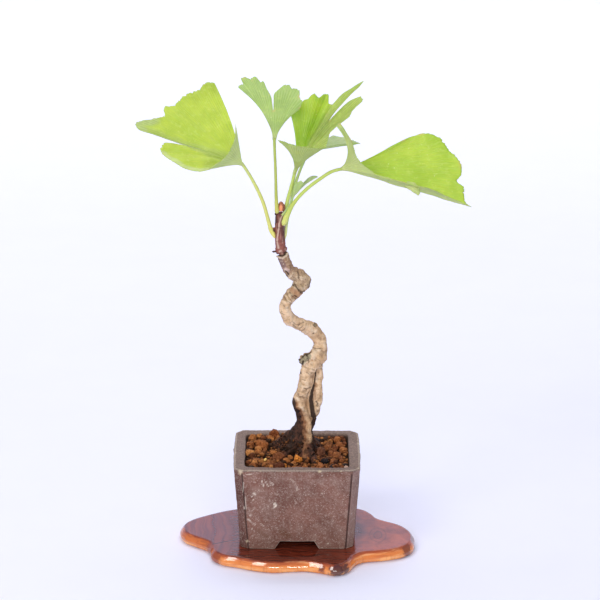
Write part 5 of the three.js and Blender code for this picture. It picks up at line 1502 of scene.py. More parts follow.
# Rings of the flat top and of the underside, as shares of the outline
STAND_TOP_RINGS = (0.985, 0.96, 0.92, 0.86, 0.78, 0.68, 0.56, 0.42, 0.26, 0.1)
STAND_UNDER_RINGS = (0.1, 0.5, 0.9)
TOP_LEVEL = 1.3            # what the level value says on the flat top


def build_stand(finish):
    count = STAND_POINTS
    outline = closed_curve(STAND_OUTLINE, count)
    ahead = np.roll(outline, -3, axis=0) - np.roll(outline, 3, axis=0)
    inward = unit(np.stack([-ahead[:, 1], ahead[:, 0]], -1))
    # the side leans in a little and is rounded off above and below
    shares = np.linspace(0, 1, STAND_LAYERS)
    inset = smooth([0, 0.10, 0.30, 0.50, 0.72, 0.90, 1], [0.8, 0.25, 0, 0.06, 0.38, 0.72, 1], shares)[:, 0]
    rings, levels = [], []
    wobble_at = np.concatenate([outline, np.zeros((count, 1))], axis=1)
    for share, draw in zip(shares, inset):
        z = share * STAND_THICKNESS
        lip = 0.30 * noise(wobble_at + [0, 0, z * 0.6], 6.5, 301) * math.sin(math.pi * share)
        ring = outline + inward * (draw * STAND_EDGE_ROUND - lip)[:, None]
        rings.append(np.concatenate([ring, np.full((count, 1), z)], axis=1))
        levels.append(np.full(count, share))
    top = rings[-1]
    for scale in STAND_TOP_RINGS:
        rings.append(top * [scale, scale, 1])
        levels.append(np.full(count, TOP_LEVEL))
    rings = [rings[0] * [scale, scale, 1] for scale in STAND_UNDER_RINGS] + rings
    levels = [np.zeros(count)] * len(STAND_UNDER_RINGS) + levels
    points = np.concatenate(rings + [[[0, 0, 0], [0, 0, STAND_THICKNESS]]])
    faces = [
        grid_faces(len(rings), count, wrap=True), cap_faces(count, len(rings) - 1, len(points)),
    ]
    shape = Shape()
    shape.add(points, faces, 0, level=np.concatenate(levels + [[0, TOP_LEVEL]]))
    return piece("stand_lacquered", shape, "stand", [finish])


# Dark places in the edge of the stand: knots, and at (-46, -37) painted shade in the left inner corner: x,
# y, radius, colour
EDGE_KNOTS_AND_CORNER_SHADE = [
    (22.0, -57.5, 6.2, (0.050, 0.012, 0.020)), (26.5, -54.5, 4.2, (0.075, 0.016, 0.016)),
    (13.5, -54.0, 2.6, (0.20, 0.040, 0.018)), (65.0, -10.0, 9.5, (0.135, 0.026, 0.016)),
    (60.0, -26.0, 5.0, (0.22, 0.045, 0.018)), (-48.5, -25.0, 6.5, (0.26, 0.045, 0.016)),
    # the patch at (-46, -37) is painted shade in the inner corner
    (-46.0, -37.0, 6.0, (0.30, 0.055, 0.018)), (-63.0, 3.0, 4.0, (0.46, 0.13, 0.04)),
]


def stand_wood():
    """Lacquered root wood: curved growth bands, swirls, knots, painted shade in the edge's left inner
    corner, and amber sapwood at the edge.
    """
    f = Finish("stand_wood")
    level = f.value("level")
    where = f.apart(f.place)
    x, y = where["X"], where["Y"]
    flat = f.scaled(f.place, (1, 1, 0))
    warp = f.noise(22.0, 2.0, where=flat)
    small_warp = f.noise(5.0, 3.0, 0.6, where=flat)
    # left: uneven growth bands that run from front to back
    bow = f.mul(f.math("POWER", f.math("ABSOLUTE", f.add(y, 6.0)), 2.0), 0.0035)
    across = f.add(f.add(x, bow), f.mul(warp, 7.0))
    across = f.add(across, f.mul(small_warp, 0.8))
    uneven = f.noise(1.0, 3.0, 0.6, where=f.combine(
        f.mul(across, 0.30), f.mul(y, 0.02), 4.0))
    line = f.between(0.70, 0.98, f.math("SINE", f.mul(across, TAU / 5.4)))
    cross = f.noise(0.8, 3.0, 0.6, where=f.scaled(flat, (0.10, 0.9, 1)))
    # middle and front: long dark grain that follows the front edge
    along = f.noise(1.0, 3.0, 0.62, where=f.combine(
        f.mul(x, 0.055),
        f.add(f.mul(y, 0.62), f.mul(warp, 9.0)), 2.0))
    left_tone = f.coats(
        f.mix(f.between(0.36, 0.64, uneven), (0.225, 0.042, 0.03), (0.145, 0.026, 0.026)),
        (line, 0.4, (0.08, 0.016, 0.018)),
        (cross, 0.52, 0.7, 0.4, (0.16, 0.04, 0.032)),
    )
    left = f.between(-32.0, -42.0, f.add(x, f.mul(f.sub(warp, 0.5), 14.0)))
    # right: orange brown with a ring of figure and a dark cloud
    swirl_at = f.vector("ADD", flat, f.vector("SCALE", f.colour_noise(9.0, flat), scale=9.0))
    swirl = f.noise(9.0, 4.0, 0.58, where=swirl_at)
    eye = f.vector("LENGTH", f.scaled(f.vector("SUBTRACT", flat, (45.0, -9.5, 0)), (1, 0.42, 0)))
    eye = f.add(eye, f.mul(small_warp, 1.6))
    eye_line = f.between(0.35, 0.95, f.math("SINE", f.mul(eye, TAU / 2.4)))
    eye_line = f.mul(eye_line, f.between(8.5, 3.5, eye))
    cloud = f.vector("LENGTH", f.scaled(f.vector("SUBTRACT", flat, (33.0, -2.0, 0)), (1, 0.42, 0)))
    cloud = f.between(9.0, 3.5, f.add(cloud, f.mul(small_warp, 3.0)))
    fine = f.noise(0.8, 3.0, 0.7, where=flat)
    right = f.between(26.0, 38.0, f.add(x, f.mul(f.sub(warp, 0.5), 16.0)))
    right_tone = f.coats(
        f.mix(f.between(0.3, 0.7, swirl), (0.215, 0.04, 0.024), (0.42, 0.085, 0.034)),
        (eye_line, 0.65, (0.085, 0.016, 0.012)),
        (cloud, 0.85, (0.085, 0.02, 0.024)),
        (fine, 0.54, 0.7, 0.35, (0.58, 0.19, 0.075)),
    )
    crack = f.math("ABSOLUTE", f.add(f.add(y, 19.0), f.mul(f.add(x, 38.0), -0.55)))
    crack = f.mul(
        f.between(0.8, 0.25, crack), f.mul(f.between(-55.0, -52.0, x), f.between(-31.0, -34.0, x))
    )
    # sapwood round the edge: red brown above, amber below, streaked along the edge; the palest streaks are
    # partly the sapwood's own and partly painted highlight
    tone = f.noise(9.0, 3.0, 0.6)
    streak = f.noise(1.3, 3.0, 0.62, where=f.scaled(f.place, (0.10, 0.10, 1.0)))
    step = f.add(level, f.mul(f.sub(streak, 0.5), 0.5))
    low_tone = f.mix(f.between(0.32, 0.68, tone), (0.76, 0.24, 0.050), (0.92, 0.42, 0.135))
    middle_tone = f.mix(f.between(0.34, 0.66, along), (0.070, 0.013, 0.009), (0.215, 0.038, 0.018))
    top = f.coats(
        f.mix(left, middle_tone, left_tone),
        (right, right_tone),
        (crack, 0.7, (0.02, 0.006, 0.006)),
    )
    ruddy_left = f.mul(f.between(-40.0, -46.0, x), f.between(0.18, 0.42, level))
    ridges = f.between(0.55, 0.75, f.noise(1.6, 2.0, 0.5, where=f.scaled(f.place, (1.0, 1.0, 0.15))))
    amber = f.coats(
        f.mix(f.between(0.3, 0.62, step), low_tone, (0.74, 0.215, 0.05)),
        (step, 0.66, 0.9, (0.4, 0.078, 0.022)),
        (streak, 0.54, 0.7, 0.45, (0.5, 0.11, 0.028)),
        # pale streaks: partly the sapwood's own, partly painted highlight
        (streak, 0.46, 0.3, 0.45, (0.95, 0.55, 0.26)),
        (ruddy_left, 0.75, f.mix(f.between(0.4, 0.6, streak), (0.3, 0.058, 0.02), (0.58, 0.15, 0.035))),
        (ridges, 0.35, (0.34, 0.065, 0.02)),
    )
    for place_x, place_y, size, knot in EDGE_KNOTS_AND_CORNER_SHADE:
        away = f.vector(
            "LENGTH", f.scaled(f.vector("SUBTRACT", f.place, (place_x, place_y, 3.5)), (1, 1, 0.8))
        )
        away = f.add(away, f.mul(f.sub(f.noise(2.2, 3.0, 0.6), 0.5), size * 1.4))
        amber = f.mix(f.mul(f.between(size, size * 0.45, away), 0.9), amber, knot)
    edge = f.between(1.02, 0.86, f.add(level, f.mul(f.sub(small_warp, 0.5), 0.25)))
    pores = f.between(0.62, 0.70, f.noise(0.5, 2.0, 0.5, where=f.scaled(flat, (1, 0.15, 1))))
    waves = f.noise(6.0, 2.0)
    normal = f.bump(f.add(f.mul(pores, -0.3), waves), 0.14, 0.35)
    rough = f.add(0.06, f.mul(f.noise(7.0, 3.0), 0.08))
    gloss = f.add(0.34, f.mul(edge, 0.56))
    return f.surface(f.mix(edge, top, amber), rough, normal, Specular_IOR_Level=gloss)


def panel_places():
    """Places across one side's panel, from -1 to 1, with the notch's corners among them."""
    notch_low = NOTCH_BOTTOM / 2 / (POT_BASE_WIDTH / 2 - POT_CHAMFER - GROOVE_WIDTH)
    notch_high = NOTCH_TOP / 2 / (
        (POT_BASE_WIDTH + (POT_TOP_WIDTH - POT_BASE_WIDTH) * POT_FOOT_HEIGHT / POT_HEIGHT) / 2
        - POT_CHAMFER - GROOVE_WIDTH)
    marks = [-1, -notch_low, -notch_high, notch_high, notch_low, 1]
    panel = []
    for a, b in zip(marks[:-1], marks[1:]):
        steps = max(3, math.ceil((b - a) * 26 / 0.62))
        panel.extend(a + (b - a) * np.arange(steps) / steps)
    panel.append(1.0)
    return np.array(panel)


def pot_ring(width, places, dip_share=1.0):
    """Points round the outside of the pot, and how many there are to a side."""
    half = width / 2
    edge = half - POT_CHAMFER
    panel = edge - GROOVE_WIDTH
    groove = np.linspace(0, 1, 7)[:-1]
    dip = dip_share * GROOVE_DEPTH * np.sin(np.pi * groove) ** 0.8
    left = np.stack([-edge + GROOVE_WIDTH * groove, -half + dip], -1)
    middle = np.stack([places * panel, -half - POT_BULGE * (1 - places**2)], -1)
    right = -left[::-1] * [1, -1]
    chamfer = np.linspace(0, 1, 12)[1:-1][:, None]
    corner = np.array([edge, -half]) * (1 - chamfer) + np.array([half, -edge]) * chamfer
    side = np.concatenate([left, middle, right, corner])
    ring = np.concatenate([
        side @ np.array([[math.cos(t), math.sin(t)], [-math.sin(t), math.cos(t)]])
        for t in (0, math.pi / 2, math.pi, 3 * math.pi / 2)])
    for _ in range(2):
        ring = 0.25 * np.roll(ring, 1, axis=0) + 0.5 * ring + 0.25 * np.roll(ring, -1, axis=0)
    return ring, len(side)


def rounded_square(angles, half, corner):
    """Points of a round-cornered square in given directions from its middle."""
    way = np.stack([np.cos(angles), np.sin(angles)], -1)
    power = 2 * half / corner * 0.9
    norm = np.sum(np.abs(way) ** power, axis=1) ** (1 / power)
    return way * (half / norm)[:, None]


def pot_width(z):
    """Width of the pot's leaning wall at a height."""
    return POT_BASE_WIDTH + (POT_TOP_WIDTH - POT_BASE_WIDTH) * (z - POT_BOTTOM) / POT_HEIGHT


def inside_half(z, allowance=0.0):
    """Half the width of the space inside the pot at a height."""
    return pot_width(z) / 2 - POT_WALL - allowance


def foot_level(across):
    """How high the underside lies over a notch at a distance from its middle."""
    return POT_FOOT_HEIGHT * np.clip(
        (NOTCH_BOTTOM / 2 - np.abs(across)) / ((NOTCH_BOTTOM - NOTCH_TOP) / 2), 0, 1)


# Marks on the front of the pot: kind, path of [x, z], half width, strength
POT_MARKS = [
    ("salt", [[-23.5, 39.9], [-23.0, 39.2]], 0.45, 1.0),
    ("salt", [[-24.6, 37.9]], 0.45, 1.0),
    ("salt", [[-23.9, 36.0]], 0.35, 0.9),
    ("salt", [[-12.2, 33.6], [-11.4, 32.4], [-12.3, 31.8]], 0.5, 1.0),
    ("salt", [[-29.2, 46.1], [-29.3, 43.0], [-29.6, 40.3]], 0.2, 0.5),
    ("salt", [[-29.0, 31.4], [-28.8, 30.6]], 0.3, 0.6),
    ("salt", [[-19.1, 47.6], [-18.6, 45.6], [-18.0, 43.9]], 0.28, 0.8),
    ("salt", [[-17.0, 47.0], [-16.4, 45.2], [-15.6, 44.2]], 0.25, 0.7),
    ("salt", [[-14.8, 46.6], [-13.4, 45.8], [-12.6, 44.6]], 0.25, 0.7),
    ("salt", [[-21.4, 42.6], [-20.4, 41.0]], 0.22, 0.55),
    ("salt", [[-26.6, 24.2], [-25.2, 23.0]], 0.25, 0.7),
    ("salt", [[-24.2, 22.0], [-22.8, 21.0]], 0.25, 0.6),
    ("salt", [[-19.5, 21.6], [-18.3, 20.4]], 0.25, 0.6),
    ("salt", [[-28.4, 37.6], [-27.9, 30.1]], 0.18, 0.6),
    ("salt", [[-3.8, 48.6], [-0.5, 46.3], [0.0, 41.7]], 0.2, 0.5),
    ("salt", [[13.7, 39.9]], 0.35, 0.9),
    ("salt", [[20.3, 26.0]], 0.35, 0.8),
    ("salt", [[-25.7, 26.6]], 0.35, 0.8),
    ("salt", [[-24.7, 18.4]], 0.35, 0.8),
    ("salt", [[17.0, 9.6]], 0.4, 0.9),
    ("salt", [[-27.8, 50.9], [-24.6, 51.3]], 0.25, 0.6),
    ("stain", [[-8.2, 16.8], [-5.4, 14.6]], 1.9, 0.8),
    ("stain", [[-21.0, 17.4], [-17.0, 14.2]], 1.5, 0.5),
    ("stain", [[-28.6, 27.0], [-28.9, 18.0]], 0.9, 0.5),
    ("cloud", [[-19.1, 32.4], [-15.6, 34.4]], 3.8, 0.55),
    ("cloud", [[-23.0, 28.9]], 2.8, 0.5),
    ("cloud", [[-8.0, 38.0], [-2.0, 36.0]], 3.6, 0.35),
    ("cloud", [[-24.0, 14.5]], 2.6, 0.35),
]

# Chips out of the pot's edges: place, size, depth
POT_CHIPS = [
    ([-31.4, -34.2, 52.3], 2.2, 0.7), ([-29.6, -30.8, 11.2], 0.9, 0.3), ([33.6, -30.0, 52.8], 1.0, 0.35),
    ([-32.4, -28.0, 13.4], 1.4, 0.4), ([-27.4, -31.2, 10.8], 1.0, 0.3), ([-26.4, -34.8, 53.0], 0.8, 0.3),
    ([-20.0, -34.6, 53.0], 0.8, 0.3), ([12.5, -34.8, 53.0], 1.1, 0.35), ([28.5, -33.0, 7.2], 0.9, 0.3),
    ([4.5, -34.9, 53.0], 0.7, 0.3), ([24.0, -34.8, 53.1], 0.6, 0.25), ([34.6, 12.0, 52.9], 1.5, 0.4),
    ([-34.8, -4.0, 52.8], 1.4, 0.4), ([5.0, 34.6, 52.8], 1.3, 0.3), ([-34, 30, 30], 1.2, 0.3),
]
# A lump of lime on the rim, and the rounding of the pot's outer edges, at the foot and at the rim
RIM_LUMP = [-32.6, 2.0, 53.0]
ROUND_LOW, ROUND_TOP = 0.55, 1.0
INSIDE_CORNER = 3.0
# How far below the rim the rings of the inside wall lie
INSIDE_STEPS = (0.35, 0.8, 1.6, 2.6, 4, 6, 12, 22)


def edge_pull(radius, reach):
    """How far a rounded edge draws the wall in, at a distance from the edge."""
    return radius - np.sqrt(np.maximum(radius**2 - np.maximum(radius - reach, 0) ** 2, 0))


def build_pot(finish):
    panel = panel_places()
    base, per_side = pot_ring(POT_BASE_WIDTH, panel)
    count = len(base)
    panel_end = 5 + len(panel)
    angles = np.arctan2(base[:, 1], base[:, 0])
    under = np.maximum(foot_level(base[:, 0]) * (np.abs(base[:, 1]) > 20),
                       foot_level(base[:, 1]) * (np.abs(base[:, 0]) > 20))
    rings, wear, inner, grooves, corners = [], [], [], [], []
    column = np.arange(count) % per_side
    first_groove = (column > 0) & (column < 6)
    second_groove = (column > panel_end) & (column < panel_end + 6)
    in_groove = (first_groove | second_groove).astype(float)
    in_corner = (column >= panel_end + 6).astype(float)

    def take(flat, z, wear_here, inner_here, groove_here=0.0, corner_here=0.0):
        rings.append(np.concatenate([flat, np.broadcast_to(z, count)[:, None]], axis=1))
        wear.append(np.broadcast_to(wear_here, count))
        inner.append(np.full(count, inner_here))
        grooves.append(in_groove * groove_here)
        corners.append(in_corner * corner_here)

    # underside, from the drain hole outwards
    foot_low, _ = pot_ring(pot_width(POT_BOTTOM), panel)
    circle = np.stack([np.cos(angles), np.sin(angles)], -1) * DRAIN_RADIUS
    for share in np.linspace(0, 0.985, 36):
        flat = circle + (foot_low * 0.985 - circle) * share
        level = np.maximum(foot_level(flat[:, 0]), foot_level(flat[:, 1]))
        take(flat, POT_BOTTOM + level, 0.0, 0.6)
    # outside wall; the grooves run out just under the rim
    narrow, wide, narrow_plain, wide_plain = (
        pot_ring(width, panel, dip)[0] for dip in (1.0, 0.0) for width in (POT_BASE_WIDTH, POT_TOP_WIDTH)
    )
    shares = np.concatenate([
        np.linspace(0, 0.03, 6)[:-1], np.linspace(0.03, 0.955, 70), np.linspace(0.955, 1, 10)[1:]
    ])
    for share in shares:
        low = POT_BOTTOM + under
        z = low + (RIM - low) * share
        mixed = ((pot_width(z) - POT_BASE_WIDTH) / (POT_TOP_WIDTH - POT_BASE_WIDTH))[:, None]
        above, below = z - low, RIM - z
        fade = ramp(0.9, 2.6, below)
        grooved = narrow * (1 - mixed) + wide * mixed
        plain = narrow_plain * (1 - mixed) + wide_plain * mixed
        flat = plain + (grooved - plain) * fade[:, None]
        pull = edge_pull(ROUND_LOW, above) + edge_pull(ROUND_TOP, below)
        flat = flat * (1 - pull[:, None] / np.linalg.norm(flat, axis=1)[:, None])
        worn = np.maximum(0.6 * ramp(0.8, 0.2, above), 0.55 * ramp(0.6, 0.1, below))
        take(flat, z, worn, 0.0, float(fade.min()), 1.0)
    # rim, inside wall and floor
    outer_flat = rings[-1][:, :2]
    inside = rounded_square(angles, inside_half(RIM), INSIDE_CORNER)
    for share in (0.10, 0.25, 0.42, 0.60, 0.78, 0.92):
        flat = outer_flat * (1 - share) + inside * share
        dip = 0.5 * max(0.0, share - 0.75) ** 2 / 0.06 * 0.3
        take(flat, RIM - dip, 0.12, 0.0)
    for z in [RIM - step for step in INSIDE_STEPS] + [POT_FLOOR_TOP + 3]:
        worn, inside_share = (0.2, 0.3) if z > RIM - 1 else (0.0, 1.0)
        take(rounded_square(angles, inside_half(z), INSIDE_CORNER), z, worn, inside_share)
    for half in (inside_half(POT_FLOOR_TOP, 3), 16.0, 9.0):
        take(rounded_square(angles, half, INSIDE_CORNER), POT_FLOOR_TOP, 0.0, 1.0)
    take(circle, POT_FLOOR_TOP, 0.0, 1.0)
    points = np.concatenate(rings)
    k = np.arange(count)
    n = (k + 1) % count
    last = (len(rings) - 1) * count
    drain = np.stack([last + k, last + n, n, k], -1)
    faces = [np.concatenate([grid_faces(len(rings), count, wrap=True), drain])]
    normals = point_normals(points, faces)
    z = points[:, 2]
    wear, inner = np.concatenate(wear), np.concatenate(inner)
    lift = 0.16 * layered(points, 7.0, 3, 401) + 0.09 * noise(points, 1.1, 405)
    upright = ramp(0.9, 0.4, np.abs(normals[:, 2]))
    lift *= np.where(z < POT_BOTTOM + 0.3, 0.0, 1.0)
    lift += 0.30 * layered(points, 9.0, 2, 409) * ramp(RIM - 1.5, RIM - 0.2, z)
    lift += 0.30 * noise(points, 3.0, 411) * ramp(RIM - 0.6, RIM - 0.1, z) * (inner > 0.2)
    # the pot's front marks, and chips out of its edges
    front = ramp(-0.6, -0.85, normals[:, 1])
    face_places = np.stack([points[:, 0], z], -1)
    tones = {kind: np.zeros(len(points)) for kind in ("salt", "stain", "cloud")}
    uneven = noise(points, 0.7, 431)
    for kind, path, width, strength in POT_MARKS:
        gap = near_path(face_places, path) + min(0.25, width * 0.5) * uneven
        mark = strength * ramp(width * 1.5, width * 0.5, gap) * front
        if kind == "salt":
            lift += 0.10 * mark
        tones[kind] = np.maximum(tones[kind], mark)
    chips = np.zeros(len(points))
    ragged = 0.45 * noise(points, 1.0, 421)
    for place, size, depth in POT_CHIPS:
        gap = np.linalg.norm(points - place, axis=1) + ragged
        near = ramp(size, size * 0.35, gap)
        lift -= depth * near
        chips = np.maximum(chips, near)
    blob = ramp(3.6, 0.8, np.linalg.norm((points - RIM_LUMP) * [1, 0.6, 1.4], axis=1))
    lift += 0.9 * blob * upright + 0.4 * blob
    rim = ramp(RIM - 1.0, RIM - 0.35, z + 0.25 * noise(points, 1.5, 441)) * (inner < 0.5)
    points = points + normals * lift[:, None]
    shape = Shape()
    shape.add(
        points, faces, 0, wear=wear, inner=inner, groove=np.concatenate(grooves), chip=chips, rim=rim,
        corner=np.concatenate(corners), salt=tones["salt"], stain=tones["stain"], cloud=tones["cloud"],
    )
    return piece("pot_fired_clay", shape, "pot", [finish])


def pot_clay():
    """Unglazed clay: red brown, greyer at the rim, with pale grit, salts and worn edges."""
    f = Finish("pot_clay")
    wear, inner, groove, rim, chip = (f.value(n) for n in ("wear", "inner", "groove", "rim", "chip"))
    height = f.apart(f.place)["Z"]
    broad = f.noise(16.0, 3.0, 0.55)
    cloud = f.noise(6.0, 4.0, 0.62)
    grit = f.noise(0.85, 4.0, 0.75)
    sand = f.noise(0.36, 3.0, 0.65)
    low = f.between(28.0, 12.0, f.add(height, f.mul(cloud, 10.0)))
    shade = f.mix(
        f.mul(f.value("corner"), f.between(8.0, -8.0, f.apart(f.place)["X"])),
        (1.0, 1.0, 1.0),
        (0.58, 0.47, 0.47),
    )
    colour = f.coats(
        f.mix(f.between(0.32, 0.68, broad), (0.152, 0.066, 0.049), (0.225, 0.103, 0.078)),
        (cloud, 0.42, 0.66, 0.45, (0.3, 0.195, 0.165)),
        (low, 0.45, (0.18, 0.082, 0.06)),
    )
    colour = f.tinted(colour, shade)
    lit = f.mul(f.value("corner"), f.between(8.0, 24.0, f.apart(f.place)["X"]))
    brushed = f.noise(1.6, 4.0, 0.68, distortion=0.8)
    pale_share = f.add(0.34, f.mul(f.value("cloud"), 0.9))
    specks = f.mul(f.between(0.20, 0.09, f.cells(1.05)), f.between(0.46, 0.54, f.noise(3.2, 2.0)))
    dots = f.between(0.16, 0.07, f.cells(2.6))
    colour = f.coats(
        colour,
        (lit, 0.22, (0.46, 0.38, 0.36)),
        (f.value("stain"), 0.75, (0.125, 0.046, 0.022)),
        (brushed, 0.52, 0.66, pale_share, (0.44, 0.345, 0.3)),
        (grit, 0.53, 0.68, 0.6, (0.47, 0.37, 0.32)),
        (grit, 0.46, 0.3, 0.6, (0.085, 0.036, 0.028)),
        (sand, 0.6, 0.72, 0.35, (0.55, 0.46, 0.4)),
        (specks, 0.85, (0.68, 0.6, 0.54)),
        (dots, 0.3, (0.7, 0.62, 0.55)),
    )
    rim_tone = f.coats(
        f.mix(f.between(0.35, 0.65, grit), (0.085, 0.052, 0.044), (0.235, 0.15, 0.126)),
        (brushed, 0.58, 0.72, 0.45, (0.36, 0.26, 0.225)),
        (sand, 0.62, 0.7, 0.5, (0.5, 0.4, 0.35)),
    )
    worn = f.mul(wear, f.between(0.30, 0.50, f.noise(1.1, 3.0, 0.65)))
    stained = f.mul(inner, 0.9)
    height_field = f.add(f.mul(grit, 0.9), f.mul(sand, 0.6))
    pits = f.between(0.22, 0.10, f.cells(1.7))
    height_field = f.sub(height_field, f.mul(pits, 0.4))
    normal = f.bump(height_field, 0.36, 0.9)
    rough = f.add(0.66, f.mul(sand, 0.28))
    colour = f.coats(
        colour,
        (rim, 0.92, rim_tone),
        (worn, 0.88, (0.62, 0.52, 0.44)),
        # the grooves are painted near black as shade
        (groove, 0.8, (0.04, 0.018, 0.016)),
        (f.value("salt"), f.mix(sand, (0.6, 0.5, 0.42), (0.84, 0.76, 0.66))),
        (chip, 0.85, f.mix(grit, (0.42, 0.3, 0.19), (0.84, 0.73, 0.54))),
        (stained, f.mix(sand, (0.03, 0.018, 0.015), (0.11, 0.068, 0.052))),
    )
    return f.surface(colour, rough, normal, Specular_IOR_Level=0.3)


def stone(random, centre, radii, level):
    """One porous granule: a ball cut by random planes, then roughened."""
    directions, faces = BALLS[level]
    normals = unit(random.normal(size=(11, 3)))
    far = random.uniform(0.70, 1.0, 11)
    facing = np.maximum(directions @ normals.T, 0.05)
    reach = np.minimum(1.04, np.min(far / facing, axis=1))
    seed = int(random.integers(1 << 20))
    reach = reach * (1 + 0.15 * noise(directions, 0.55, seed) + 0.10 * noise(directions, 0.24, seed + 1))
    points = directions * reach[:, None] * np.asarray(radii)
    turn = random.uniform(0, TAU)
    lean = random.uniform(-0.5, 0.5)
    c, s = math.cos(turn), math.sin(turn)
    points = points @ np.array([[c, s, 0], [-s, c, 0], [0, 0, 1]])
    c, s = math.cos(lean), math.sin(lean)
    points = points @ np.array([[1, 0, 0], [0, c, s], [0, -s, c]])
    return points + np.asarray(centre), faces


# Granules that stand out: x, y, height over the soil, radii, colour
MARKED_GRANULES = [
    (-10.3, -7.0, 1.6, (4.1, 3.8, 3.4), (0.20, 0.066, 0.026)),
    (-20.0, 12.5, 1.8, (4.5, 3.8, 3.6), (0.28, 0.088, 0.026)),
    (-13.0, 25.0, 4.0, (4.1, 3.0, 3.0), (0.215, 0.062, 0.020)),
    (13.2, -1.0, 2.0, (2.7, 3.8, 3.6), (0.150, 0.056, 0.030)),
    (-25.6, -1.0, 1.4, (3.2, 2.6, 2.0), (0.48, 0.195, 0.060)),
    (0.4, -13.2, 2.6, (2.4, 2.1, 2.5), (0.78, 0.27, 0.050)),
    (-19.2, -14.8, 1.3, (2.6, 1.5, 1.5), (0.36, 0.145, 0.045)),
    (-17.4, -14.6, 1.9, (1.8, 0.8, 0.8), (0.86, 0.54, 0.17)),
    (-6.8, -22.0, 1.2, (1.5, 1.3, 1.5), (0.66, 0.22, 0.045)),
    (-9.6, -26.2, 2.6, (3.5, 2.2, 2.4), (0.115, 0.034, 0.016)),
    (12.7, -22.5, 1.0, (2.3, 2.2, 2.1), (0.36, 0.125, 0.045)),
    (22.6, 21.0, 1.8, (2.5, 2.1, 2.2), (0.38, 0.130, 0.042)),
    (23.4, 13.0, 1.3, (2.4, 2.2, 2.0), (0.33, 0.110, 0.038)),
    (22.0, -5.0, 1.2, (2.7, 2.4, 2.2), (0.25, 0.085, 0.030)),
    (20.3, -22.5, 1.2, (2.9, 2.4, 2.3), (0.24, 0.080, 0.030)),
    (27.2, -26.4, 1.4, (1.3, 1.4, 1.2), (0.52, 0.34, 0.27)),
    (-25.0, 23.0, 2.2, (2.9, 2.4, 2.6), (0.34, 0.120, 0.036)),
    (-21.0, 25.6, 2.4, (2.1, 1.7, 1.8), (0.42, 0.165, 0.050)),
    (-26.2, 13.5, 1.6, (2.2, 2.4, 2.0), (0.30, 0.100, 0.032)),
    (-4.0, 26.4, 2.5, (2.6, 1.7, 1.9), (0.17, 0.055, 0.022)),
    (-24.0, -20.5, 1.2, (2.4, 2.4, 2.2), (0.26, 0.086, 0.028)),
    (-17.6, -21.8, 1.1, (2.3, 2.0, 2.0), (0.31, 0.112, 0.036)),
    (-13.6, -24.2, 1.2, (1.9, 1.8, 1.8), (0.40, 0.150, 0.046)),
    (4.4, -24.4, 1.1, (2.0, 1.9, 1.9), (0.34, 0.118, 0.040)),
    (17.0, 8.5, 1.2, (2.3, 2.4, 2.0), (0.27, 0.090, 0.032)),
    (15.2, -15.0, 1.5, (2.5, 2.0, 2.0), (0.024, 0.018, 0.020)),
    (10.6, 15.5, 2.6, (3.0, 2.3, 2.0), (0.022, 0.019, 0.024)),
    (19.4, -23.4, 1.2, (2.1, 1.7, 1.7), (0.028, 0.020, 0.020)),
    (26.4, -21.0, 0.9, (1.8, 1.8, 1.6), (0.026, 0.019, 0.020)),
    (-25.0, -24.6, 0.9, (1.9, 1.6, 1.6), (0.034, 0.020, 0.015)),
    (25.8, 4.0, 1.3, (1.9, 2.4, 1.9), (0.36, 0.130, 0.044)),
]
GRANULE_TINTS = [
    ((0.36, 0.130, 0.040), 0.32), ((0.235, 0.078, 0.027), 0.28), ((0.150, 0.046, 0.018), 0.19),
    ((0.070, 0.025, 0.014), 0.10), ((0.47, 0.185, 0.058), 0.11),
]


SOIL_SEED = 41
EARTH_STEPS = 74
EARTH_TINT = (0.034, 0.016, 0.010)
HUMUS_TINT = (0.046, 0.019, 0.011)
ROOTLET_TINT = (0.105, 0.05, 0.028)
# Layers of granules: how many, least and largest radius, height over the soil's top
GRANULE_LAYERS = ((150, 1.4, 2.4, -1.7), (190, 1.0, 2.8, 0.1))
GRANULE_TRIES = 6000
CRUMBS, LEVEL_CRUMBS = 820, 400
ROOTLETS = 16


def from_trunk(x, y):
    """Distance from the trunk's foot, which is wider than it is deep."""
    return math.hypot((x - TRUNK_FOOT[0]) / 1.25, y - TRUNK_FOOT[1])


def mound(x, y):
    """How much higher the dark earth stands left of and behind the trunk."""
    return 4.6 * np.exp(-(((x + 3.5) / 9.0) ** 2 + ((y - 10.0) / 9.0) ** 2))


def ground(x, y):
    """The level of the roots or the earth at a place."""
    i, j = (int(np.clip((v + FOOT_HALF) / FOOT_CELL, 0, FOOT_LEVEL.shape[0] - 1)) for v in (x, y))
    return max(FOOT_LEVEL[i, j], SOIL_TOP - 1.2 + float(mound(x, y)))


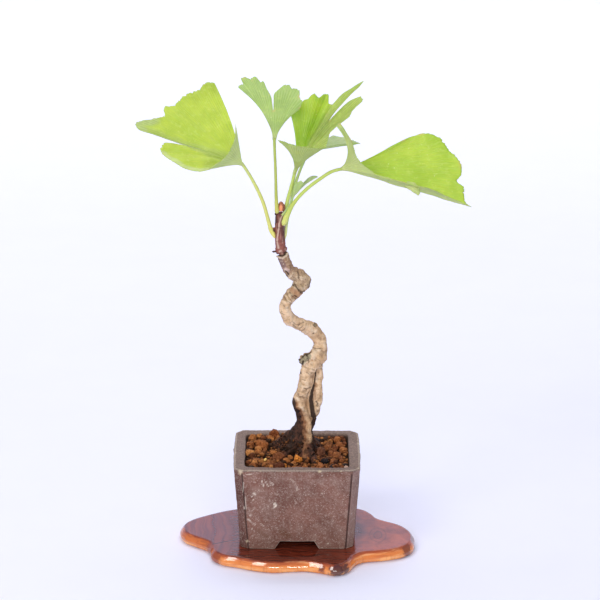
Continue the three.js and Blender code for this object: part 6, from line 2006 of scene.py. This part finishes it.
def build_soil(finish):
    random = np.random.default_rng(SOIL_SEED)
    tints = [tint for tint, _ in GRANULE_TINTS]
    odds = np.array([share for _, share in GRANULE_TINTS])
    shape = Shape()
    # the body of earth: a crumbly top on a block that fills the pot
    steps = EARTH_STEPS
    side = np.linspace(-1, 1, steps)
    gx, gy = np.meshgrid(side, side, indexing="ij")
    half = inside_half(SOIL_TOP, 0.35)
    corner = 1 - 0.10 * np.clip(np.hypot(gx, gy) - 1.22, 0, 1) / 0.2
    top = np.stack([gx * half * corner, gy * half * corner, np.full_like(gx, SOIL_TOP - 1.7)], -1)
    top[..., 2] += (
        1.0 * layered(top, 3.0, 3, 501)
        + mound(top[..., 0], top[..., 1]) * (1 + 0.35 * noise(top, 1.8, 505))
    )
    floor = top.copy()
    floor[..., :2] *= inside_half(POT_FLOOR_TOP + 3, 0.5) / half
    floor[..., 2] = POT_FLOOR_TOP + 2.2
    flat = grid_faces(steps, steps)
    earth = np.concatenate([top.reshape(-1, 3), floor.reshape(-1, 3)])
    shape.add(earth, [flat, flat[:, ::-1] + steps * steps, rim_walls(steps, steps)], 0,
              tint=np.full((len(earth), 3), EARTH_TINT), humus=np.ones(len(earth)))

    def add(points, faces, tint, humus):
        shape.add(
            points, faces, 0, tint=np.tile(tint, (len(points), 1)), humus=np.full(len(points), humus)
        )

    def any_tint():
        return np.array(tints[random.choice(len(tints), p=odds / odds.sum())])

    spots = []
    for x, y, lift, radii, tint in MARKED_GRANULES:
        centre = [x, y, SOIL_TOP + lift - radii[2] * 0.45]
        points, faces = stone(random, centre, radii, 3)
        add(points, faces, tint, 0.0)
        spots.append((x, y, 0.85 * min(radii[0], radii[1])))
    # two layers, the lower one close and painted darker as the shade between the upper granules, the upper
    # one loose
    for layer, (wanted, low, high, depth) in enumerate(GRANULE_LAYERS):
        placed = [] if layer == 0 else list(spots)
        tries = 0
        while len(placed) < wanted and tries < GRANULE_TRIES:
            tries += 1
            r = low + (high - low) * random.random() ** 1.4
            room = inside_half(SOIL_TOP, r * 0.72)
            x, y = random.uniform(-room, room), random.uniform(-room, room)
            if from_trunk(x, y) < 4.6 + r * 0.6:
                continue
            if any(math.hypot(a - x, b - y) < 0.80 * (r + c) for a, b, c in placed):
                continue
            placed.append((x, y, r))
            humus_here = math.exp(-(((x + 3.0) / 10.5) ** 2 + ((y - 7.0) / 13.0) ** 2)) * 1.3
            dark = random.random() < humus_here * 0.9
            shrink = 0.66 if dark else 1.0
            tint = any_tint()
            if dark:
                tint = np.array(HUMUS_TINT) * random.uniform(0.5, 1.7)
            # the lower layer is darkened as painted shade
            elif layer == 0:
                tint = tint * 0.45
            tint = tint * random.uniform(0.75, 1.25)
            rise = 1.3 * ramp(4, 24, y) * ramp(6, -16, x) + mound(x, y)
            radii = np.array([r, r * random.uniform(0.75, 1.0), r * random.uniform(0.7, 0.95)]) * shrink
            centre = [x, y, SOIL_TOP + depth + float(rise) + random.uniform(-0.45, 0.45)]
            points, faces = stone(random, centre, radii, 1 + layer)
            points[:, 2] = np.minimum(points[:, 2], RIM + 3.6)
            add(points, faces, tint, float(dark))
    # crumbs in the gaps, and many on the dark mound
    for number in range(CRUMBS):
        r = random.uniform(0.35, 0.85)
        if number < LEVEL_CRUMBS:
            room = inside_half(SOIL_TOP, r)
            x, y = random.uniform(-room, room), random.uniform(-room, room)
            lift = random.uniform(-0.7, 0.9) + 0.8 * mound(x, y) + SOIL_TOP
        else:
            x, y = random.normal(-2.5, 6.2), random.normal(3.5, 7.6)
            lift = ground(x, y) + random.uniform(-0.2, 0.35)
        if from_trunk(x, y) < 3.8 or max(abs(x), abs(y)) > 27 or lift > 60.5:
            continue
        tint = any_tint() * random.uniform(0.25, 1.1)
        if number >= LEVEL_CRUMBS:
            tint = tint * random.choice([0.12, 0.30, 0.85])
        points, faces = stone(random, [x, y, lift], [r, r * 0.8, r * 0.8], 1)
        add(points, faces, tint, 0.3)
    # thin dead roots that lie over the earth by the trunk
    for _ in range(ROOTLETS):
        turn = random.uniform(1.4, 5.4)
        reach = random.uniform(6.0, 12.5)
        path = []
        for share in np.linspace(0, 1, 5):
            far = 5.0 + (reach - 5.0) * share
            wobble = random.uniform(-1.0, 1.0)
            x = TRUNK_FOOT[0] + math.cos(turn) * far - math.sin(turn) * wobble
            y = TRUNK_FOOT[1] + math.sin(turn) * far + math.cos(turn) * wobble
            path.append([
                x, y, SOIL_TOP + 0.3 + 0.75 * mound(x, y) + random.uniform(-0.2, 0.8), 0.32 - 0.12 * share
            ])
        points, faces, _, _ = tube(path, 6, 4)
        add(points, faces, ROOTLET_TINT, 0.2)
    return piece("soil_granules", shape, "soil", [finish])


def soil_finish():
    """Porous fired clay granules: each its own tone, dusty and with painted light on top, painted shade on
    their sides, with dark pores.
    """
    f = Finish("soil_granules")
    tint, humus = f.tint("tint"), f.value("humus")
    mottle = f.noise(1.1, 4.0, 0.68)
    pore = f.cells(0.55)
    fine = f.noise(0.25, 3.0, 0.6)
    upward = f.apart(f.node("ShaderNodeNewGeometry").outputs["Normal"])["Z"]
    shadow = f.mul(f.between(0.50, 0.34, mottle), 0.85)
    # painted shade on the granules' sides; on their tops dust and painted light
    sides = f.mul(f.between(0.35, -0.15, upward), 0.55)
    dust_and_painted_light = f.mul(f.between(0.55, 0.95, upward), f.between(0.48, 0.66, f.noise(0.8, 3.0, 0.6)))
    height = f.add(f.mul(pore, 0.9), f.mul(mottle, 1.1))
    height = f.add(height, f.mul(fine, 0.5))
    colour = f.coats(
        f.mix(f.between(0.52, 0.72, mottle), tint, f.tinted(tint, (1.9, 2.1, 2.2))),
        (shadow, f.tinted(tint, (0.3, 0.25, 0.22))),
        (sides, f.tinted(tint, (0.3, 0.24, 0.22))),
        (dust_and_painted_light, 0.4, f.mix(0.5, f.tinted(tint, (1.9, 2.1, 2.3)), (0.42, 0.24, 0.12))),
        (pore, 0.26, 0.09, 0.85, (0.026, 0.011, 0.007)),
        (humus, 0.45, f.mix(fine, (0.01, 0.006, 0.004), (0.08, 0.038, 0.022))),
    )
    return f.surface(colour, 0.93, f.bump(height, 0.34, 1.0), Specular_IOR_Level=0.15)


def net_finish():
    f = Finish("net_plastic")
    scuff = f.noise(0.9, 3.0, 0.6)
    colour = f.mix(f.between(0.4, 0.7, scuff), (0.012, 0.013, 0.014), (0.045, 0.046, 0.048))
    return f.surface(colour, f.add(0.38, f.mul(scuff, 0.3)), f.bump(scuff, 0.08, 0.5))


build_stand(stand_wood())
build_pot(pot_clay())
build_soil(soil_finish())
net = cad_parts["drain_net"]
for material_slot in net.material_slots:
    material_slot.material = net_finish()

# ---------------------------------------------------------------------------------------
# Floor, light and camera
# ---------------------------------------------------------------------------------------
PAPER_REACH = 4500.0
PAPER_LEVEL = -0.05
PAPER_BEND_AT = 2000.0
PAPER_BEND = 300.0
PAPER_BEND_STEPS = 12
PAPER_TOP = 1900.0
WORLD_COLOUR = (0.93, 0.95, 1.0, 1)
WORLD_STRENGTH = 0.36
CAMERA_PLACE = (0.00167, -1.6668, 0.62744)
CAMERA_TILT = 73.7
CAMERA_LENS = 190.2
CAMERA_SENSOR = 36


def sweep():
    """A pale paper floor that turns up into a backdrop behind the plant."""
    profile = [(-PAPER_REACH, PAPER_LEVEL), (PAPER_BEND_AT, PAPER_LEVEL)]
    for k in range(1, PAPER_BEND_STEPS + 1):
        turn = k / PAPER_BEND_STEPS * math.pi / 2
        rise = PAPER_BEND * (1 - math.cos(turn)) + PAPER_LEVEL
        profile.append((PAPER_BEND_AT + PAPER_BEND * math.sin(turn), rise))
    profile.append((PAPER_BEND_AT + PAPER_BEND, PAPER_TOP))
    points = np.array([[x, y, z] for y, z in profile for x in (-PAPER_REACH, PAPER_REACH)])
    mesh = mesh_from("paper", points, [grid_faces(len(profile), 2)[:, ::-1]])
    f = Finish("paper")
    fibre = f.noise(40.0, 3.0)
    tone = f.mix(fibre, (0.775, 0.780, 0.955), (0.795, 0.800, 0.965))
    mesh.materials.append(f.surface(tone, 0.9, f.bump(f.noise(0.6, 2.0), 0.02, 0.2)))
    mesh.polygons.foreach_set("use_smooth", np.full(len(mesh.polygons), True))
    paper = bpy.data.objects.new("paper", mesh)
    bpy.context.scene.collection.objects.link(paper)


# name, place and target in metres, width, height, watts, colour
LAMPS = [
    ("key", (-0.85, -0.9, 1.05), (0, 0, 0.14), 0.5, 0.5, 6.5, (1.0, 0.98, 0.95)),
    ("window", (-0.05, -1.9, 0.84), (0, 0, 0.05), 1.3, 0.22, 21.0, (1.0, 0.99, 0.97)),
    ("sky", (0, 1.6, 2.3), (0, 1.6, 0), 2.8, 2.8, 44.0, (0.99, 1.0, 1.0)),
    ("back", (0, 1.1, 1.9), (0, 2.3, 0.5), 2.4, 0.3, 14.0, (1.0, 1.0, 1.0)),
]


def lamp(name, place, target, width, height, power, colour):
    light = bpy.data.lights.new(name, "AREA")
    light.shape = "RECTANGLE"
    light.size, light.size_y = width, height
    light.energy = power
    light.color = colour
    holder = bpy.data.objects.new(name, light)
    bpy.context.scene.collection.objects.link(holder)
    place, target = np.array(place, float), np.array(target, float)
    holder.location = place
    way = unit(target - place)
    holder.rotation_euler = (math.acos(-way[2]), 0, math.atan2(way[1], way[0]) - math.pi / 2)


sweep()
world = bpy.data.worlds.new("studio")
world.use_nodes = True
background = world.node_tree.nodes["Background"]
background.inputs["Color"].default_value = WORLD_COLOUR
background.inputs["Strength"].default_value = WORLD_STRENGTH
bpy.context.scene.world = world
for row in LAMPS:
    lamp(*row)

camera_data = bpy.data.cameras.new("camera")
camera_data.sensor_width = CAMERA_SENSOR
camera_data.lens = CAMERA_LENS
camera_data.clip_end = 20
camera = bpy.data.objects.new("camera", camera_data)
camera.location = CAMERA_PLACE
camera.rotation_euler = (math.radians(CAMERA_TILT), 0, 0)
bpy.context.scene.collection.objects.link(camera)
bpy.context.scene.camera = camera
bpy.context.scene.view_settings.view_transform = "Standard"
